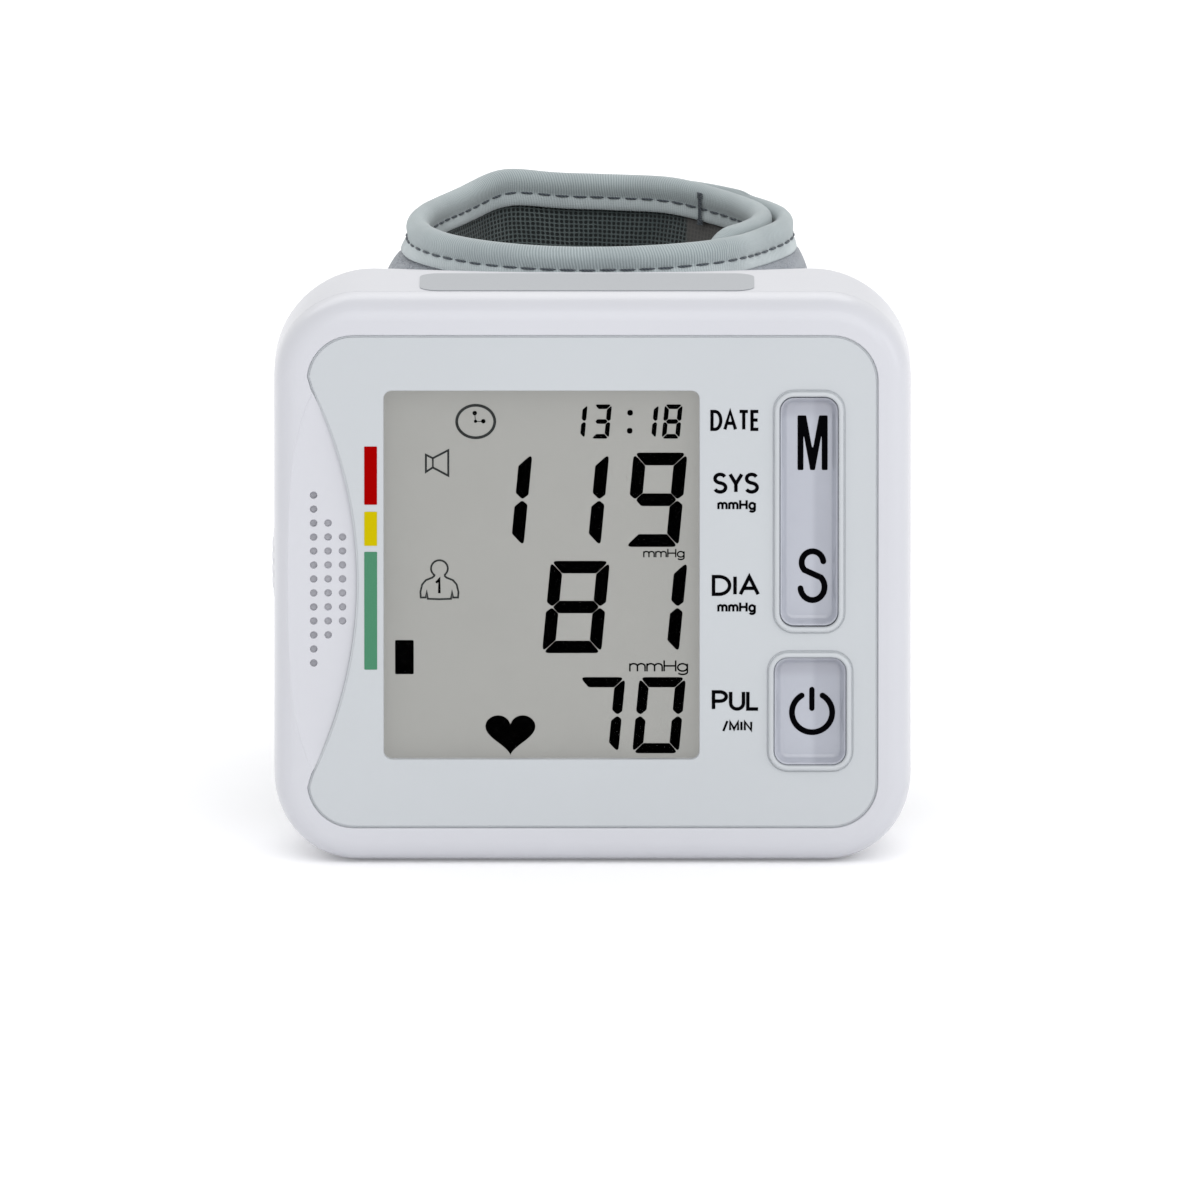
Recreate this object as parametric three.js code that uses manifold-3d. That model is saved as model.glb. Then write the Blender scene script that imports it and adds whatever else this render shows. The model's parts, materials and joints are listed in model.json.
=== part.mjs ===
// Wrist blood pressure monitor: a case with a display and keys, carried on a rolled wrist cuff.
// Millimetres. X runs to the right of the screen, Y from the screen back to the cuff, Z up.
// The origin lies on the flat underside of the case, midway between its sides and its faces.

import * as THREE from 'three';
import { mergeVertices } from 'three/addons/utils/BufferGeometryUtils.js';
import Module from 'manifold-3d';

const wasm = await Module();
wasm.setup();

// Battery cells, and the case: its height is that of the cells with their contacts and screws
const batteryRadius = 5.2;
const batteryLength = 44.4;
const caseEndRoom = 13.95;
const caseWidth = 80;
const caseHeight = batteryLength + caseEndRoom * 2;
const caseDepth = 28.5;
const wall = 1.6;
const frontCornerRadius = 10.4;
const backCornerRadius = 13;
const rimWidth = 4.4;
const crownDepth = 6;
const backInset = 4;
const backRound = 5;
const seamDepth = 5.4;
const seamGap = 0.15;
const lipDepth = 1.2;
const lipThickness = 0.7;

// Clearances and the one overrun that every cut shares
const fitGap = 0.1;
const softGap = 0.3;
const overrun = 1;
const edgeRound = 0.5;

// Face panel
const panelThickness = 1;
const panelSetback = 0.15;
const grooveWidth = 0.3;
const panelCornerRadius = 5.6;
const panelLeftBulge = 6.2;
const frontFloor = 1.4;

// Display window and display
const windowLeftMargin = 13.8;
const windowRightMargin = 26.6;
const windowEndMargin = 12.65;
const windowRise = 0.85;
const windowWidth = caseWidth - windowLeftMargin - windowRightMargin;
const windowHeight = caseHeight - windowEndMargin * 2;
const windowCentreX = (windowLeftMargin - windowRightMargin) / 2;
const windowCentreZ = caseHeight / 2 + windowRise;
const windowCornerRadius = 1;
const windowSetback = 0.45;
const windowFlangeWidth = 0.9;
const windowFlangeDepth = 1;
const glassThickness = 1.9;
const glassMargin = 2.2;
const glassGap = 0.5;
const frameRimWidth = 1.4;
const frameLedge = 1.5;
const stripHeight = 2.4;
const stripMargin = 2.8;

// Board
const boardDepth = 6.6;
const boardThickness = 1.2;
const boardLeftMargin = 10.5;
const boardRightMargin = 3.6;
const boardShoulderMargin = 11;
const boardEndMargin = 4.6;
const boardTabMargin = 11.4;
const boardCornerRadius = 1.2;
const boardLeft = boardLeftMargin - caseWidth / 2;
const boardRight = caseWidth / 2 - boardRightMargin;
const boardShoulder = caseWidth / 2 - boardShoulderMargin;
const boardLow = boardEndMargin;
const boardHigh = caseHeight - boardEndMargin;
const boardTabLow = boardTabMargin;
const boardTabHigh = caseHeight - boardTabMargin;
const chipSize = 10;
const chipHeight = 1.2;
const chipInset = 11.5;
const chipRise = 3.85;
const capacitorRadius = 2.6;
const capacitorHeight = 5.4;
const capacitorRise = 11.85;
const boardScrewInset = 2.3;
const boardScrewShift = 8;
const boardScrewPlaces = [
  [boardLeft + boardScrewInset, boardLow + boardScrewInset],
  [boardShoulder - boardScrewShift, boardHigh - boardScrewInset],
];
const boardPostRadius = 2.1;

// Screws
const screwShankRadius = 0.9;
const screwHeadRadius = 1.8;
const screwHeadHeight = 1.5;
const caseScrewTip = 7.1;
const boardScrewLength = 4.4;
const caseBossRadius = 2.8;
const caseBossInset = 7.2;
const counterboreDepth = 8.5;
const counterboreRadius = 2.05;
const bossJoinDepth = 12;

// Power key
const powerKeyMargin = 12.4;
const powerKeyWidth = 9.4;
const powerKeyHeight = 14.3;
const powerKeyLow = 12.05;
const keyCornerRadius = 1.6;
const powerTravel = 0.6;

// Memory and set key
const rockerKeyMargin = 12.8;
const rockerKeyWidth = 7.4;
const rockerEndMargin = 12.4;
const keySpacing = 3.65;
const rockerTilt = 1.9;
const rockerPostShare = 0.35;
const rockerPinRadius = 0.7;
const rockerPinReach = 1.2;
const rockerBearingReach = 2.1;

// Both keys
const keySetback = 0.45;
const keyClearance = 0.28;
const keyRimWidth = 0.75;
const keyRimHeight = 0.35;
const keyRimRound = 0.3;
const dishDepth = 0.55;
const keyFlangeDepth = 3.35;
const keyFlangeThickness = 0.7;
const keyFlangeWidth = 0.8;
const keyPostTip = 4.3;
const keyPostRadius = 1.3;

// Switches on the board
const switchSize = 6;
const switchFront = 5.3;
const plungerRadius = 1.5;
const plungerTop = 4.4;
const plungerLength = 1.1;

// Speaker and its grille
const grilleHoleRadius = 0.45;
const grillePitch = 1.77;
const grilleColumnPitch = 1.81;
const grilleInset = 5;
const grilleCounts = [13, 9, 7];
const speakerWidth = 7;
const speakerHeight = 22;
const speakerInset = 5.8;
const speakerRimDepth = 1.2;
const speakerMagnetDepth = 1.9;
const speakerMagnetInset = 1;
const speakerMagnetHeight = 16;
const coneDepth = 0.6;
const scoopWidth = 12;
const scoopEndMargin = 11.15;
const scoopDepth = 1;
const scoopInset = 7.6;

// Battery bay and contacts
const batteryNubRadius = 1.8;
const batteryNubHeight = 1;
const bayEndRoom = 3;
const bayWall = 1;
const bayBatteryGap = 0.35;
const bayDoorRoom = 1.15;
const contactThickness = 0.4;
const contactWidth = 7;
const springRadius = 2.8;
const springTurns = 2.5;
const springTaperShare = 0.5;
const springWireRadius = 0.35;
const springHeight = 3.2;

// Battery door
const doorStep = 0.2;
const doorGap = 0.25;
const doorBackWidth = 23;
const doorSideDepth = 12;
const gripHeight = 10.1;
const gripProud = 0.55;
const gripDepth = 8;
const tongueReach = 1.6;
const tongueThickness = 0.6;
const tongueWidth = 6;
const tongueOffset = 14;

// Pump, valve and sensor
const pumpInset = 13;
const pumpRadiusShare = 0.356;
const pumpAxisShare = 0.56;
const pumpBottom = 12;
const pumpHeadHeight = 12;
const pumpDomeHeight = 3;
const sleeveThickness = 0.8;
const sleeveShare = 0.6;
const valveShare = 0.47;
const valveHeight = 15;
const valveBottom = 9;
const sensorZ = 20;
const sensorGap = 2;
const sensorSize = 7;
const sensorHeight = 4;

// Air lines
const nippleRadius = 0.95;
const nippleLength = 3;
const nippleBore = 0.45;
const tubeBore = 1.15;
const tubeRadius = 2.1;
const tubeBend = 6;
const manifoldMargin = 2;
const manifoldThickness = 5;
const nozzleInset = 5;
const nozzleRadius = 1.8;
const nozzleBore = 0.8;
const airSides = 10;

// Wrist cuff loop: the wall's middle line at the rim, seen from above
const loopHalfWidth = 22;
const loopHalfDepth = 25.4;
const loopEggShare = 0.1;
const softCornerLift = 3.1;
const softCornerAngle = 118;
const softCornerShare = 0.08;
const cuffOverhang = 0.7;
const cuffWidth = caseHeight + cuffOverhang;
const cuffInnerAngle = -60;
const cuffOuterAngle = 312;
const tuckDepth = 3.4;
const tuckFromAngle = 15;
const tuckToAngle = -35;
const thinFromAngle = -15;
const thinToAngle = -47;
const thinShare = 0.3;
const outerThinFromAngle = 285;
const outerThinShare = 0.5;

// Cuff layers, as offsets from that line, outward positive
const liningRimInner = -0.6;
const liningRimOuter = -0.1;
const liningBodyInner = -1.6;
const liningBodyOuter = -1.2;
const coverRimInner = 0.1;
const coverRimOuter = 0.6;
const coverBodyInner = 1.8;
const coverBodyOuter = 3.1;
const bladderInner = -0.9;
const bladderOuter = 0.4;
const stiffenerInner = 0.7;
const stiffenerOuter = 1.5;
const bindingHalfThickness = 1.45;
const bindingWall = 0.55;
const bindingHeight = 4.4;
const bindingCrown = 0.7;
const layerEndClear = 0.95;
const padRampStart = 4.7;
const padRampEnd = 11;
const stiffenerMargin = 12;
const bladderMargin = 13;
const stiffenerFromAngle = -10;
const stiffenerToAngle = 282;
const bladderFromAngle = 150;
const bladderToAngle = 280;

// Cuff tail
const tailThickness = 1.6;
const tailSideTrim = 0.5;
const tailGapAngle = 0.8;
const tailFoldAngle = 385;
const tailEndAngle = 470;
const tailRootLift = 1.5;
const tailLiftAngle = 30;
const tailEndRound = 9;
const patchThickness = 0.8;
const patchFromAngle = 402;
const patchToAngle = 462;
const patchMargin = 14;
const patchRampAngle = 12;

// Mount plate between case and cuff
const plateShare = 0.79;
const plateEndMargin = 13.15;
const plateMiddle = 1.2;
const plateCornerRadius = 3;
const plateHalfAngle = 60;
const caseSideAngle = 270;
const fullTurnAngle = 360;
const hookShare = 0.46;
const hookHeight = 1.8;
const hookReach = 2.6;
const hookRiseShare = 0.26;
const hookLip = 0.6;
const hookGap = 0.25;

// Smoothness
const cornerSteps = 5;
const keyCornerSteps = 3;
const roundSides = 12;
const fineSides = 20;
const holeSides = 6;
const curlSteps = 10;
const loopStep = 12;

// Shares: the rim's crown and the back's rounding, as inset and depth
const crownShares = [[1, 0], [0.62, 0.03], [0.38, 0.11], [0.2, 0.27], [0.07, 0.55], [0, 1]];
const backShares = [[0, 0], [0.08, 0.4], [0.3, 0.74], [0.6, 0.93], [1, 1]];
const padRampShares = [[0, 0], [0.4, 0.6], [1, 1]];
const ribShares = [0.25, 0.75];

// Finishes
const finish = (color, roughness, metalness = 0, more = {}) =>
  new THREE.MeshStandardMaterial({ color, roughness, metalness, ...more });
const whitePlastic = finish(0xf1f1f5, 0.25);
const panelPlastic = finish(0xdfe2e6, 0.35);
const keyPlastic = finish(0xb4b2c4, 0.2);
const clearPlastic = finish(0xdfe3e0, 0.05, 0, { transparent: true, opacity: 0.25 });
const displayGlass = finish(0xaaaaa6, 0.15);
const innerPlastic = finish(0xe6e6e2, 0.5);
const boardGreen = finish(0x1f6b45, 0.5);
const blackPlastic = finish(0x1d1d20, 0.5);
const plainSteel = finish(0xb8bcc0, 0.3, 0.9);
const darkRubber = finish(0x2a2a2c, 0.8);
const clearRubber = finish(0xd8dcdc, 0.5);
const cuffCloth = finish(0x8f989e, 0.9);
const tapeCloth = finish(0xaab4b6, 0.85);
const meshCloth = finish(0x2d3434, 0.95);

const monitor = new THREE.Group();

// Solids from closed geometry, and back again for the meshes
function solidOf(geometry) {
  const bare = geometry.clone();
  bare.deleteAttribute('normal');
  bare.deleteAttribute('uv');
  const merged = mergeVertices(bare);
  return new wasm.Manifold(new wasm.Mesh({
    numProp: 3,
    vertProperties: Float32Array.from(merged.attributes.position.array),
    triVerts: Uint32Array.from(merged.index.array),
  }));
}

function geometryOf(solid) {
  const mesh = solid.getMesh();
  const geometry = new THREE.BufferGeometry();
  geometry.setAttribute('position', new THREE.BufferAttribute(mesh.vertProperties, mesh.numProp));
  geometry.setIndex(new THREE.BufferAttribute(mesh.triVerts, 1));
  geometry.computeVertexNormals();
  return geometry;
}

function addPiece(name, solid, material) {
  const mesh = new THREE.Mesh(geometryOf(solid), material);
  mesh.name = name;
  monitor.add(mesh);
  return solid;
}

const joined = (...solids) => solids.reduce((whole, next) => whole.add(next));
const cutBy = (solid, ...cutters) => cutters.reduce((left, next) => left.subtract(next), solid);

// Depth is measured from the front face of the case
const yAt = (depth) => depth - caseDepth / 2;

// Outlines on the front of the case
function roundedShape(centreX, centreZ, width, height, radius) {
  const right = centreX + width / 2;
  const left = centreX - width / 2;
  const high = centreZ + height / 2;
  const low = centreZ - height / 2;
  const shape = new THREE.Shape();
  shape.absarc(right - radius, low + radius, radius, -Math.PI / 2, 0);
  shape.absarc(right - radius, high - radius, radius, 0, Math.PI / 2);
  shape.absarc(left + radius, high - radius, radius, Math.PI / 2, Math.PI);
  shape.absarc(left + radius, low + radius, radius, Math.PI, Math.PI * 3 / 2);
  shape.closePath();
  return shape;
}

// An outline in X and Z, made solid between two depths
function fromFront(shape, fromDepth, toDepth, steps = keyCornerSteps) {
  const depth = toDepth - fromDepth;
  const geometry = new THREE.ExtrudeGeometry(shape, { depth, bevelEnabled: false, curveSegments: steps });
  geometry.rotateX(Math.PI / 2);
  geometry.translate(0, yAt(toDepth), 0);
  return solidOf(geometry);
}

// An outline in Y and Z, made solid along X
function fromSide(shape, fromX, toX, steps = fineSides) {
  const depth = toX - fromX;
  const geometry = new THREE.ExtrudeGeometry(shape, { depth, bevelEnabled: false, curveSegments: steps });
  const turn = new THREE.Matrix4().makeBasis(
    new THREE.Vector3(0, 1, 0), new THREE.Vector3(0, 0, 1), new THREE.Vector3(1, 0, 0));
  geometry.applyMatrix4(turn);
  geometry.translate(fromX, 0, 0);
  return solidOf(geometry);
}

// An outline in X and Y, made solid along Z
function fromAbove(shape, fromZ, toZ, steps = fineSides) {
  const depth = toZ - fromZ;
  const geometry = new THREE.ExtrudeGeometry(shape, { depth, bevelEnabled: false, curveSegments: steps });
  geometry.translate(0, 0, fromZ);
  return solidOf(geometry);
}

function block(fromX, toX, fromDepth, toDepth, fromZ, toZ) {
  const geometry = new THREE.BoxGeometry(toX - fromX, toDepth - fromDepth, toZ - fromZ);
  geometry.translate((fromX + toX) / 2, yAt((fromDepth + toDepth) / 2), (fromZ + toZ) / 2);
  return solidOf(geometry);
}

function blockRound(centreX, width, fromDepth, toDepth, centreZ, height) {
  return block(centreX - width / 2, centreX + width / 2, fromDepth, toDepth,
    centreZ - height / 2, centreZ + height / 2);
}

// Round rods along each axis
function rodAlongDepth(radius, centreX, centreZ, fromDepth, toDepth, sides = roundSides) {
  const geometry = new THREE.CylinderGeometry(radius, radius, toDepth - fromDepth, sides);
  geometry.translate(centreX, yAt((fromDepth + toDepth) / 2), centreZ);
  return solidOf(geometry);
}

function rodAlongZ(radius, centreX, depth, fromZ, toZ, sides = roundSides) {
  const geometry = new THREE.CylinderGeometry(radius, radius, toZ - fromZ, sides);
  geometry.rotateX(Math.PI / 2);
  geometry.translate(centreX, yAt(depth), (fromZ + toZ) / 2);
  return solidOf(geometry);
}

function rodAlongX(radius, fromX, toX, depth, centreZ, sides = roundSides) {
  const geometry = new THREE.CylinderGeometry(radius, radius, toX - fromX, sides);
  geometry.rotateZ(Math.PI / 2);
  geometry.translate((fromX + toX) / 2, yAt(depth), centreZ);
  return solidOf(geometry);
}

// A turned piece about a line along Z: the profile gives radius and height
function turnedUp(profile, centreX, depth, sides = roundSides) {
  const points = profile.map(([radius, height]) => new THREE.Vector2(radius, height));
  const geometry = new THREE.LatheGeometry(points, sides);
  geometry.rotateX(Math.PI / 2);
  geometry.translate(centreX, yAt(depth), 0);
  return solidOf(geometry);
}

// A turned piece about a line along Y: the profile gives radius and depth
function turnedBack(profile, centreX, centreZ, sides = roundSides) {
  const points = profile.map(([radius, depth]) => new THREE.Vector2(radius, yAt(depth)));
  const geometry = new THREE.LatheGeometry(points, sides);
  geometry.translate(centreX, 0, centreZ);
  return solidOf(geometry);
}

// A closed skin over a row of rings that have equally many points
function skinOver(rings, firstFlat, lastFlat) {
  const turned = THREE.ShapeUtils.isClockWise(firstFlat);
  const order = (points) => (turned ? [...points].reverse() : points);
  const rows = rings.map(order);
  const count = rows[0].length;
  const positions = rows.flat().flatMap((point) => [point.x, point.y, point.z]);
  const triangles = [];
  for (let row = 0; row + 1 < rows.length; row += 1) {
    for (let i = 0; i < count; i += 1) {
      const next = (i + 1) % count;
      const a = row * count + i;
      const b = row * count + next;
      triangles.push(b, a, a + count, b, a + count, b + count);
    }
  }
  const last = (rows.length - 1) * count;
  for (const [a, b, c] of THREE.ShapeUtils.triangulateShape(order(firstFlat), [])) {
    triangles.push(a, b, c);
  }
  for (const [a, b, c] of THREE.ShapeUtils.triangulateShape(order(lastFlat), [])) {
    triangles.push(last + c, last + b, last + a);
  }
  let volume = 0;
  for (let i = 0; i < triangles.length; i += 3) {
    const [a, b, c] = triangles.slice(i, i + 3).map(
      (vertex) => new THREE.Vector3().fromArray(positions, vertex * 3));
    volume += a.dot(b.cross(c));
  }
  if (volume < 0) {
    triangles.reverse();
  }
  return new wasm.Manifold(new wasm.Mesh({
    numProp: 3,
    vertProperties: Float32Array.from(positions),
    triVerts: Uint32Array.from(triangles),
  }));
}

// A round tube along a curve
function tubeAlong(curve, radius, steps, sides) {
  const frames = curve.computeFrenetFrames(steps, false);
  const flat = [];
  for (let side = 0; side < sides; side += 1) {
    const angle = side / sides * Math.PI * 2;
    flat.push(new THREE.Vector2(Math.cos(angle) * radius, Math.sin(angle) * radius));
  }
  const rings = [];
  for (let step = 0; step <= steps; step += 1) {
    const centre = curve.getPoint(step / steps);
    rings.push(flat.map((point) => centre.clone()
      .addScaledVector(frames.normals[step], point.x)
      .addScaledVector(frames.binormals[step], point.y)));
  }
  return skinOver(rings, flat, flat);
}

// Case body: its inset at each depth, and the rounded outline there
const caseProfile = [
  ...crownShares.map(([inset, depth]) => [inset * rimWidth, depth * crownDepth]),
  ...backShares.map(([inset, depth]) => [inset * backInset, caseDepth - backRound + depth * backRound]),
];

function insetAt(depth) {
  const held = Math.min(Math.max(depth, 0), caseDepth);
  for (let i = 0; i + 1 < caseProfile.length; i += 1) {
    const [nearInset, near] = caseProfile[i];
    const [farInset, far] = caseProfile[i + 1];
    if (held <= far) {
      return nearInset + (farInset - nearInset) * (held - near) / (far - near);
    }
  }
  return backInset;
}

function caseOutline(depth, inset) {
  const round = frontCornerRadius + (backCornerRadius - frontCornerRadius) * depth / caseDepth;
  const radius = Math.max(round - inset, wall);
  const shape = roundedShape(0, caseHeight / 2, caseWidth - inset * 2, caseHeight - inset * 2, radius);
  const points = [];
  for (const curve of shape.curves.filter((part) => part.isEllipseCurve)) {
    points.push(...curve.getPoints(cornerSteps));
  }
  return points;
}

function caseBody(extraInset, lookAhead, fromDepth, toDepth) {
  const inner = caseProfile.map(([, depth]) => depth)
    .filter((depth) => depth > fromDepth && depth < toDepth);
  const depths = [fromDepth, ...inner, toDepth];
  const outlines = depths.map((depth) => caseOutline(depth, insetAt(depth + lookAhead) + extraInset));
  const rings = outlines.map((outline, i) => outline.map(
    (point) => new THREE.Vector3(point.x, yAt(depths[i]), point.y)));
  return skinOver(rings, outlines[0], outlines[outlines.length - 1]);
}

// The panel's outline: a rounded rectangle whose left edge bulges in past the grille
const panelDepth = panelSetback + panelThickness;
const panelSeat = panelDepth + fitGap;
const cavityFront = panelSeat + frontFloor;

function panelShape(grow) {
  const right = caseWidth / 2 - rimWidth + grow;
  const high = caseHeight - rimWidth + grow;
  const low = rimWidth - grow;
  const radius = panelCornerRadius + grow;
  const left = -right;
  const bulge = panelLeftBulge;
  const halfChord = (high - low) / 2 - radius;
  const bulgeRadius = (halfChord ** 2 + bulge ** 2) / (bulge * 2);
  const halfAngle = Math.asin(halfChord / bulgeRadius);
  const middle = caseHeight / 2;
  const shape = new THREE.Shape();
  shape.absarc(right - radius, low + radius, radius, -Math.PI / 2, 0);
  shape.absarc(right - radius, high - radius, radius, 0, Math.PI / 2);
  shape.absarc(left + radius, high - radius, radius, Math.PI / 2, Math.PI);
  shape.absarc(left + bulge - bulgeRadius, middle, bulgeRadius, halfAngle, -halfAngle, true);
  shape.absarc(left + radius, low + radius, radius, Math.PI, Math.PI * 3 / 2);
  shape.closePath();
  return shape;
}

// Where the key openings, bosses and screws go
const powerKeyX = caseWidth / 2 - powerKeyMargin;
const powerKeyZ = powerKeyLow + powerKeyHeight / 2;
const rockerKeyX = caseWidth / 2 - rockerKeyMargin;
const rockerKeyLow = powerKeyLow + powerKeyHeight + keySpacing;
const rockerKeyHeight = caseHeight - rockerEndMargin - rockerKeyLow;
const rockerKeyZ = rockerKeyLow + rockerKeyHeight / 2;
const rockerPostOffset = rockerKeyHeight * rockerPostShare;
const keys = {
  power: { x: powerKeyX, z: powerKeyZ, width: powerKeyWidth, height: powerKeyHeight },
  rocker: { x: rockerKeyX, z: rockerKeyZ, width: rockerKeyWidth, height: rockerKeyHeight },
};

function keyShape(key, grow) {
  return roundedShape(key.x, key.z, key.width + grow * 2, key.height + grow * 2, keyCornerRadius + grow);
}

const bossPlaces = [];
for (const side of [-1, 1]) {
  const x = side * (caseWidth / 2 - caseBossInset);
  bossPlaces.push([x, caseBossInset]);
  bossPlaces.push([x, caseHeight - caseBossInset]);
}
const counterboreFloor = caseDepth - counterboreDepth;

// The grille's holes, in columns that shorten towards the panel
const grillePlaces = [];
grilleCounts.forEach((count, column) => {
  for (let row = 0; row < count; row += 1) {
    grillePlaces.push([
      grilleInset - caseWidth / 2 + column * grilleColumnPitch,
      caseHeight / 2 + (row - (count - 1) / 2) * grillePitch,
    ]);
  }
});

// Battery bay, in the left back of the rear shell
const cavityBack = caseDepth - wall;
const bayLow = (caseHeight - batteryLength) / 2 - bayEndRoom;
const bayHigh = caseHeight - bayLow;
const bayFloor = cavityBack - bayDoorRoom - bayBatteryGap - batteryRadius * 2;
const batteryDepth = bayFloor + bayBatteryGap + batteryRadius;
const batteryOneX = -caseWidth / 2 + wall + bayBatteryGap * 2 + batteryRadius;
const batteryTwoX = batteryOneX + batteryRadius * 2 + bayBatteryGap;
const bayRight = batteryTwoX + batteryRadius + bayBatteryGap;
const bayEdge = bayRight + bayWall;
const doorRight = -caseWidth / 2 + doorBackWidth;

function doorBlock(grow) {
  return joined(
    block(-caseWidth / 2 - overrun, doorRight + grow, cavityBack - overrun - wall,
      caseDepth + overrun, bayLow + wall - grow, bayHigh - wall + grow),
    block(-caseWidth / 2 - overrun, -caseWidth / 2 + wall * 2, caseDepth - doorSideDepth - grow,
      caseDepth + overrun, bayLow + wall - grow, bayHigh - wall + grow),
  );
}

function tongueBlocks(grow, reach) {
  const blocks = [];
  for (const side of [-1, 1]) {
    blocks.push(blockRound(doorRight, reach * 2, cavityBack - doorGap - tongueThickness - grow,
      cavityBack - doorGap + grow, caseHeight / 2 + side * tongueOffset, tongueWidth + grow * 2));
  }
  return joined(...blocks);
}

// Pump, sensor and valve share the room behind the board, right of the bay
const boardBack = boardDepth + boardThickness;
const backRoom = cavityBack - boardBack;
const pumpX = caseWidth / 2 - pumpInset;
const pumpRadius = backRoom * pumpRadiusShare;
const pumpAxisDepth = boardBack + backRoom * pumpAxisShare;
const valveWidth = backRoom * valveShare;
const sensorX = bayEdge + sensorGap + sensorSize / 2;
const sleeveLeft = pumpX - pumpRadius - softGap - sleeveThickness;
const valveX = (sensorX + sensorSize / 2 + sleeveLeft) / 2;

// Mount plate and hooks, right of the bay, and the nozzle near the plate's upper end
const plateZ = caseHeight / 2;
const plateHeight = caseHeight - plateEndMargin * 2;
const plateHalfWidth = -bayEdge * plateShare;
const hookWidth = -bayEdge * hookShare;
const hookPlaces = [];
for (const sideX of [-1, 1]) {
  for (const sideZ of [-1, 1]) {
    hookPlaces.push([sideX * hookWidth, plateZ + sideZ * plateHeight * hookRiseShare]);
  }
}
const manifoldZ = plateZ + plateHeight / 2 - nozzleInset;
const manifoldLeft = sensorX - manifoldMargin;
const manifoldRight = pumpX - tubeBend - nippleLength * 2;
const nozzleX = (manifoldRight + manifoldLeft) / 2;

// Loop seen from above: its middle line and the way out from it, at an angle in degrees
const frontOfLoop = caseDepth / 2 + fitGap + plateMiddle + softGap + coverBodyOuter;
const loopCentreY = frontOfLoop + loopHalfDepth;
const toRadians = THREE.MathUtils.degToRad;

// The cloth stands out in a soft corner at the back, on the left
function softCornerAt(angle) {
  const away = 1 - Math.cos(toRadians(angle - softCornerAngle));
  return softCornerLift * Math.exp(-away / softCornerShare);
}

function loopPoint(angle, offset) {
  const turn = toRadians(angle);
  const egg = 1 - loopEggShare * Math.sin(turn);
  const x = loopHalfWidth * Math.cos(turn) * egg;
  const y = loopCentreY + loopHalfDepth * Math.sin(turn);
  const alongX = loopHalfWidth * (-Math.sin(turn) * egg - loopEggShare * Math.cos(turn) ** 2);
  const alongY = loopHalfDepth * Math.cos(turn);
  const length = Math.hypot(alongX, alongY);
  const lift = offset + softCornerAt(angle);
  return new THREE.Vector2(x + alongY / length * lift, y - alongX / length * lift);
}

function easing(value, from, to) {
  return THREE.MathUtils.smoothstep((value - from) / (to - from), 0, 1);
}

// The inner end tucks inside the wall, and both ends of the band are thinner
const tuckAt = (angle) => -tuckDepth * easing(angle, tuckFromAngle, tuckToAngle);

function fullnessAt(angle) {
  const inner = 1 - (1 - thinShare) * easing(angle, thinFromAngle, thinToAngle);
  const outer = 1 - (1 - outerThinShare) * easing(angle, outerThinFromAngle, cuffOuterAngle);
  return Math.min(inner, outer);
}

function anglesBetween(from, to) {
  const count = Math.max(Math.round((to - from) / loopStep), 2);
  return Array.from({ length: count + 1 }, (unused, i) => from + (to - from) * i / count);
}

// A band round the loop: at each angle a closed profile of offset and height
function bandRound(from, to, profileAt) {
  const angles = anglesBetween(from, to);
  const flats = angles.map((angle) => profileAt(angle).map(
    ([offset, height]) => new THREE.Vector2(offset, height)));
  const rings = flats.map((flat, i) => flat.map((point) => {
    const place = loopPoint(angles[i], point.x);
    return new THREE.Vector3(place.x, place.y, point.y);
  }));
  return skinOver(rings, flats[0], flats[flats.length - 1]);
}

// The offset of a face that is flat at the rims and pads out between them
function paddedFace(rimOffset, bodyOffset, lowEnd, highEnd, lift) {
  const rise = padRampShares.map(([along, share]) => [
    padRampStart + (padRampEnd - padRampStart) * along,
    rimOffset + (bodyOffset - rimOffset) * share,
  ]);
  const low = rise.map(([height, offset]) => [lift + offset, height]);
  const high = [...low].reverse().map(([offset, height]) => [offset, cuffWidth - height]);
  return [[lift + rimOffset, lowEnd], ...low, ...high, [lift + rimOffset, highEnd]];
}

function paddedProfile(rimInner, rimOuter, bodyInner, bodyOuter) {
  return (angle) => {
    const full = fullnessAt(angle);
    const swell = (rim, body) => rim + (body - rim) * full;
    const lowEnd = layerEndClear;
    const highEnd = cuffWidth - layerEndClear;
    const lift = tuckAt(angle);
    const outer = paddedFace(rimOuter, swell(rimOuter, bodyOuter), lowEnd, highEnd, lift);
    const inner = paddedFace(rimInner, swell(rimInner, bodyInner), lowEnd, highEnd, lift);
    return [...outer, ...inner.reverse()];
  };
}

function plainProfile(inner, outer, margin) {
  return (angle) => {
    const lift = tuckAt(angle);
    return [
      [lift + inner, margin],
      [lift + outer, margin],
      [lift + outer, cuffWidth - margin],
      [lift + inner, cuffWidth - margin],
    ];
  };
}

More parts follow.
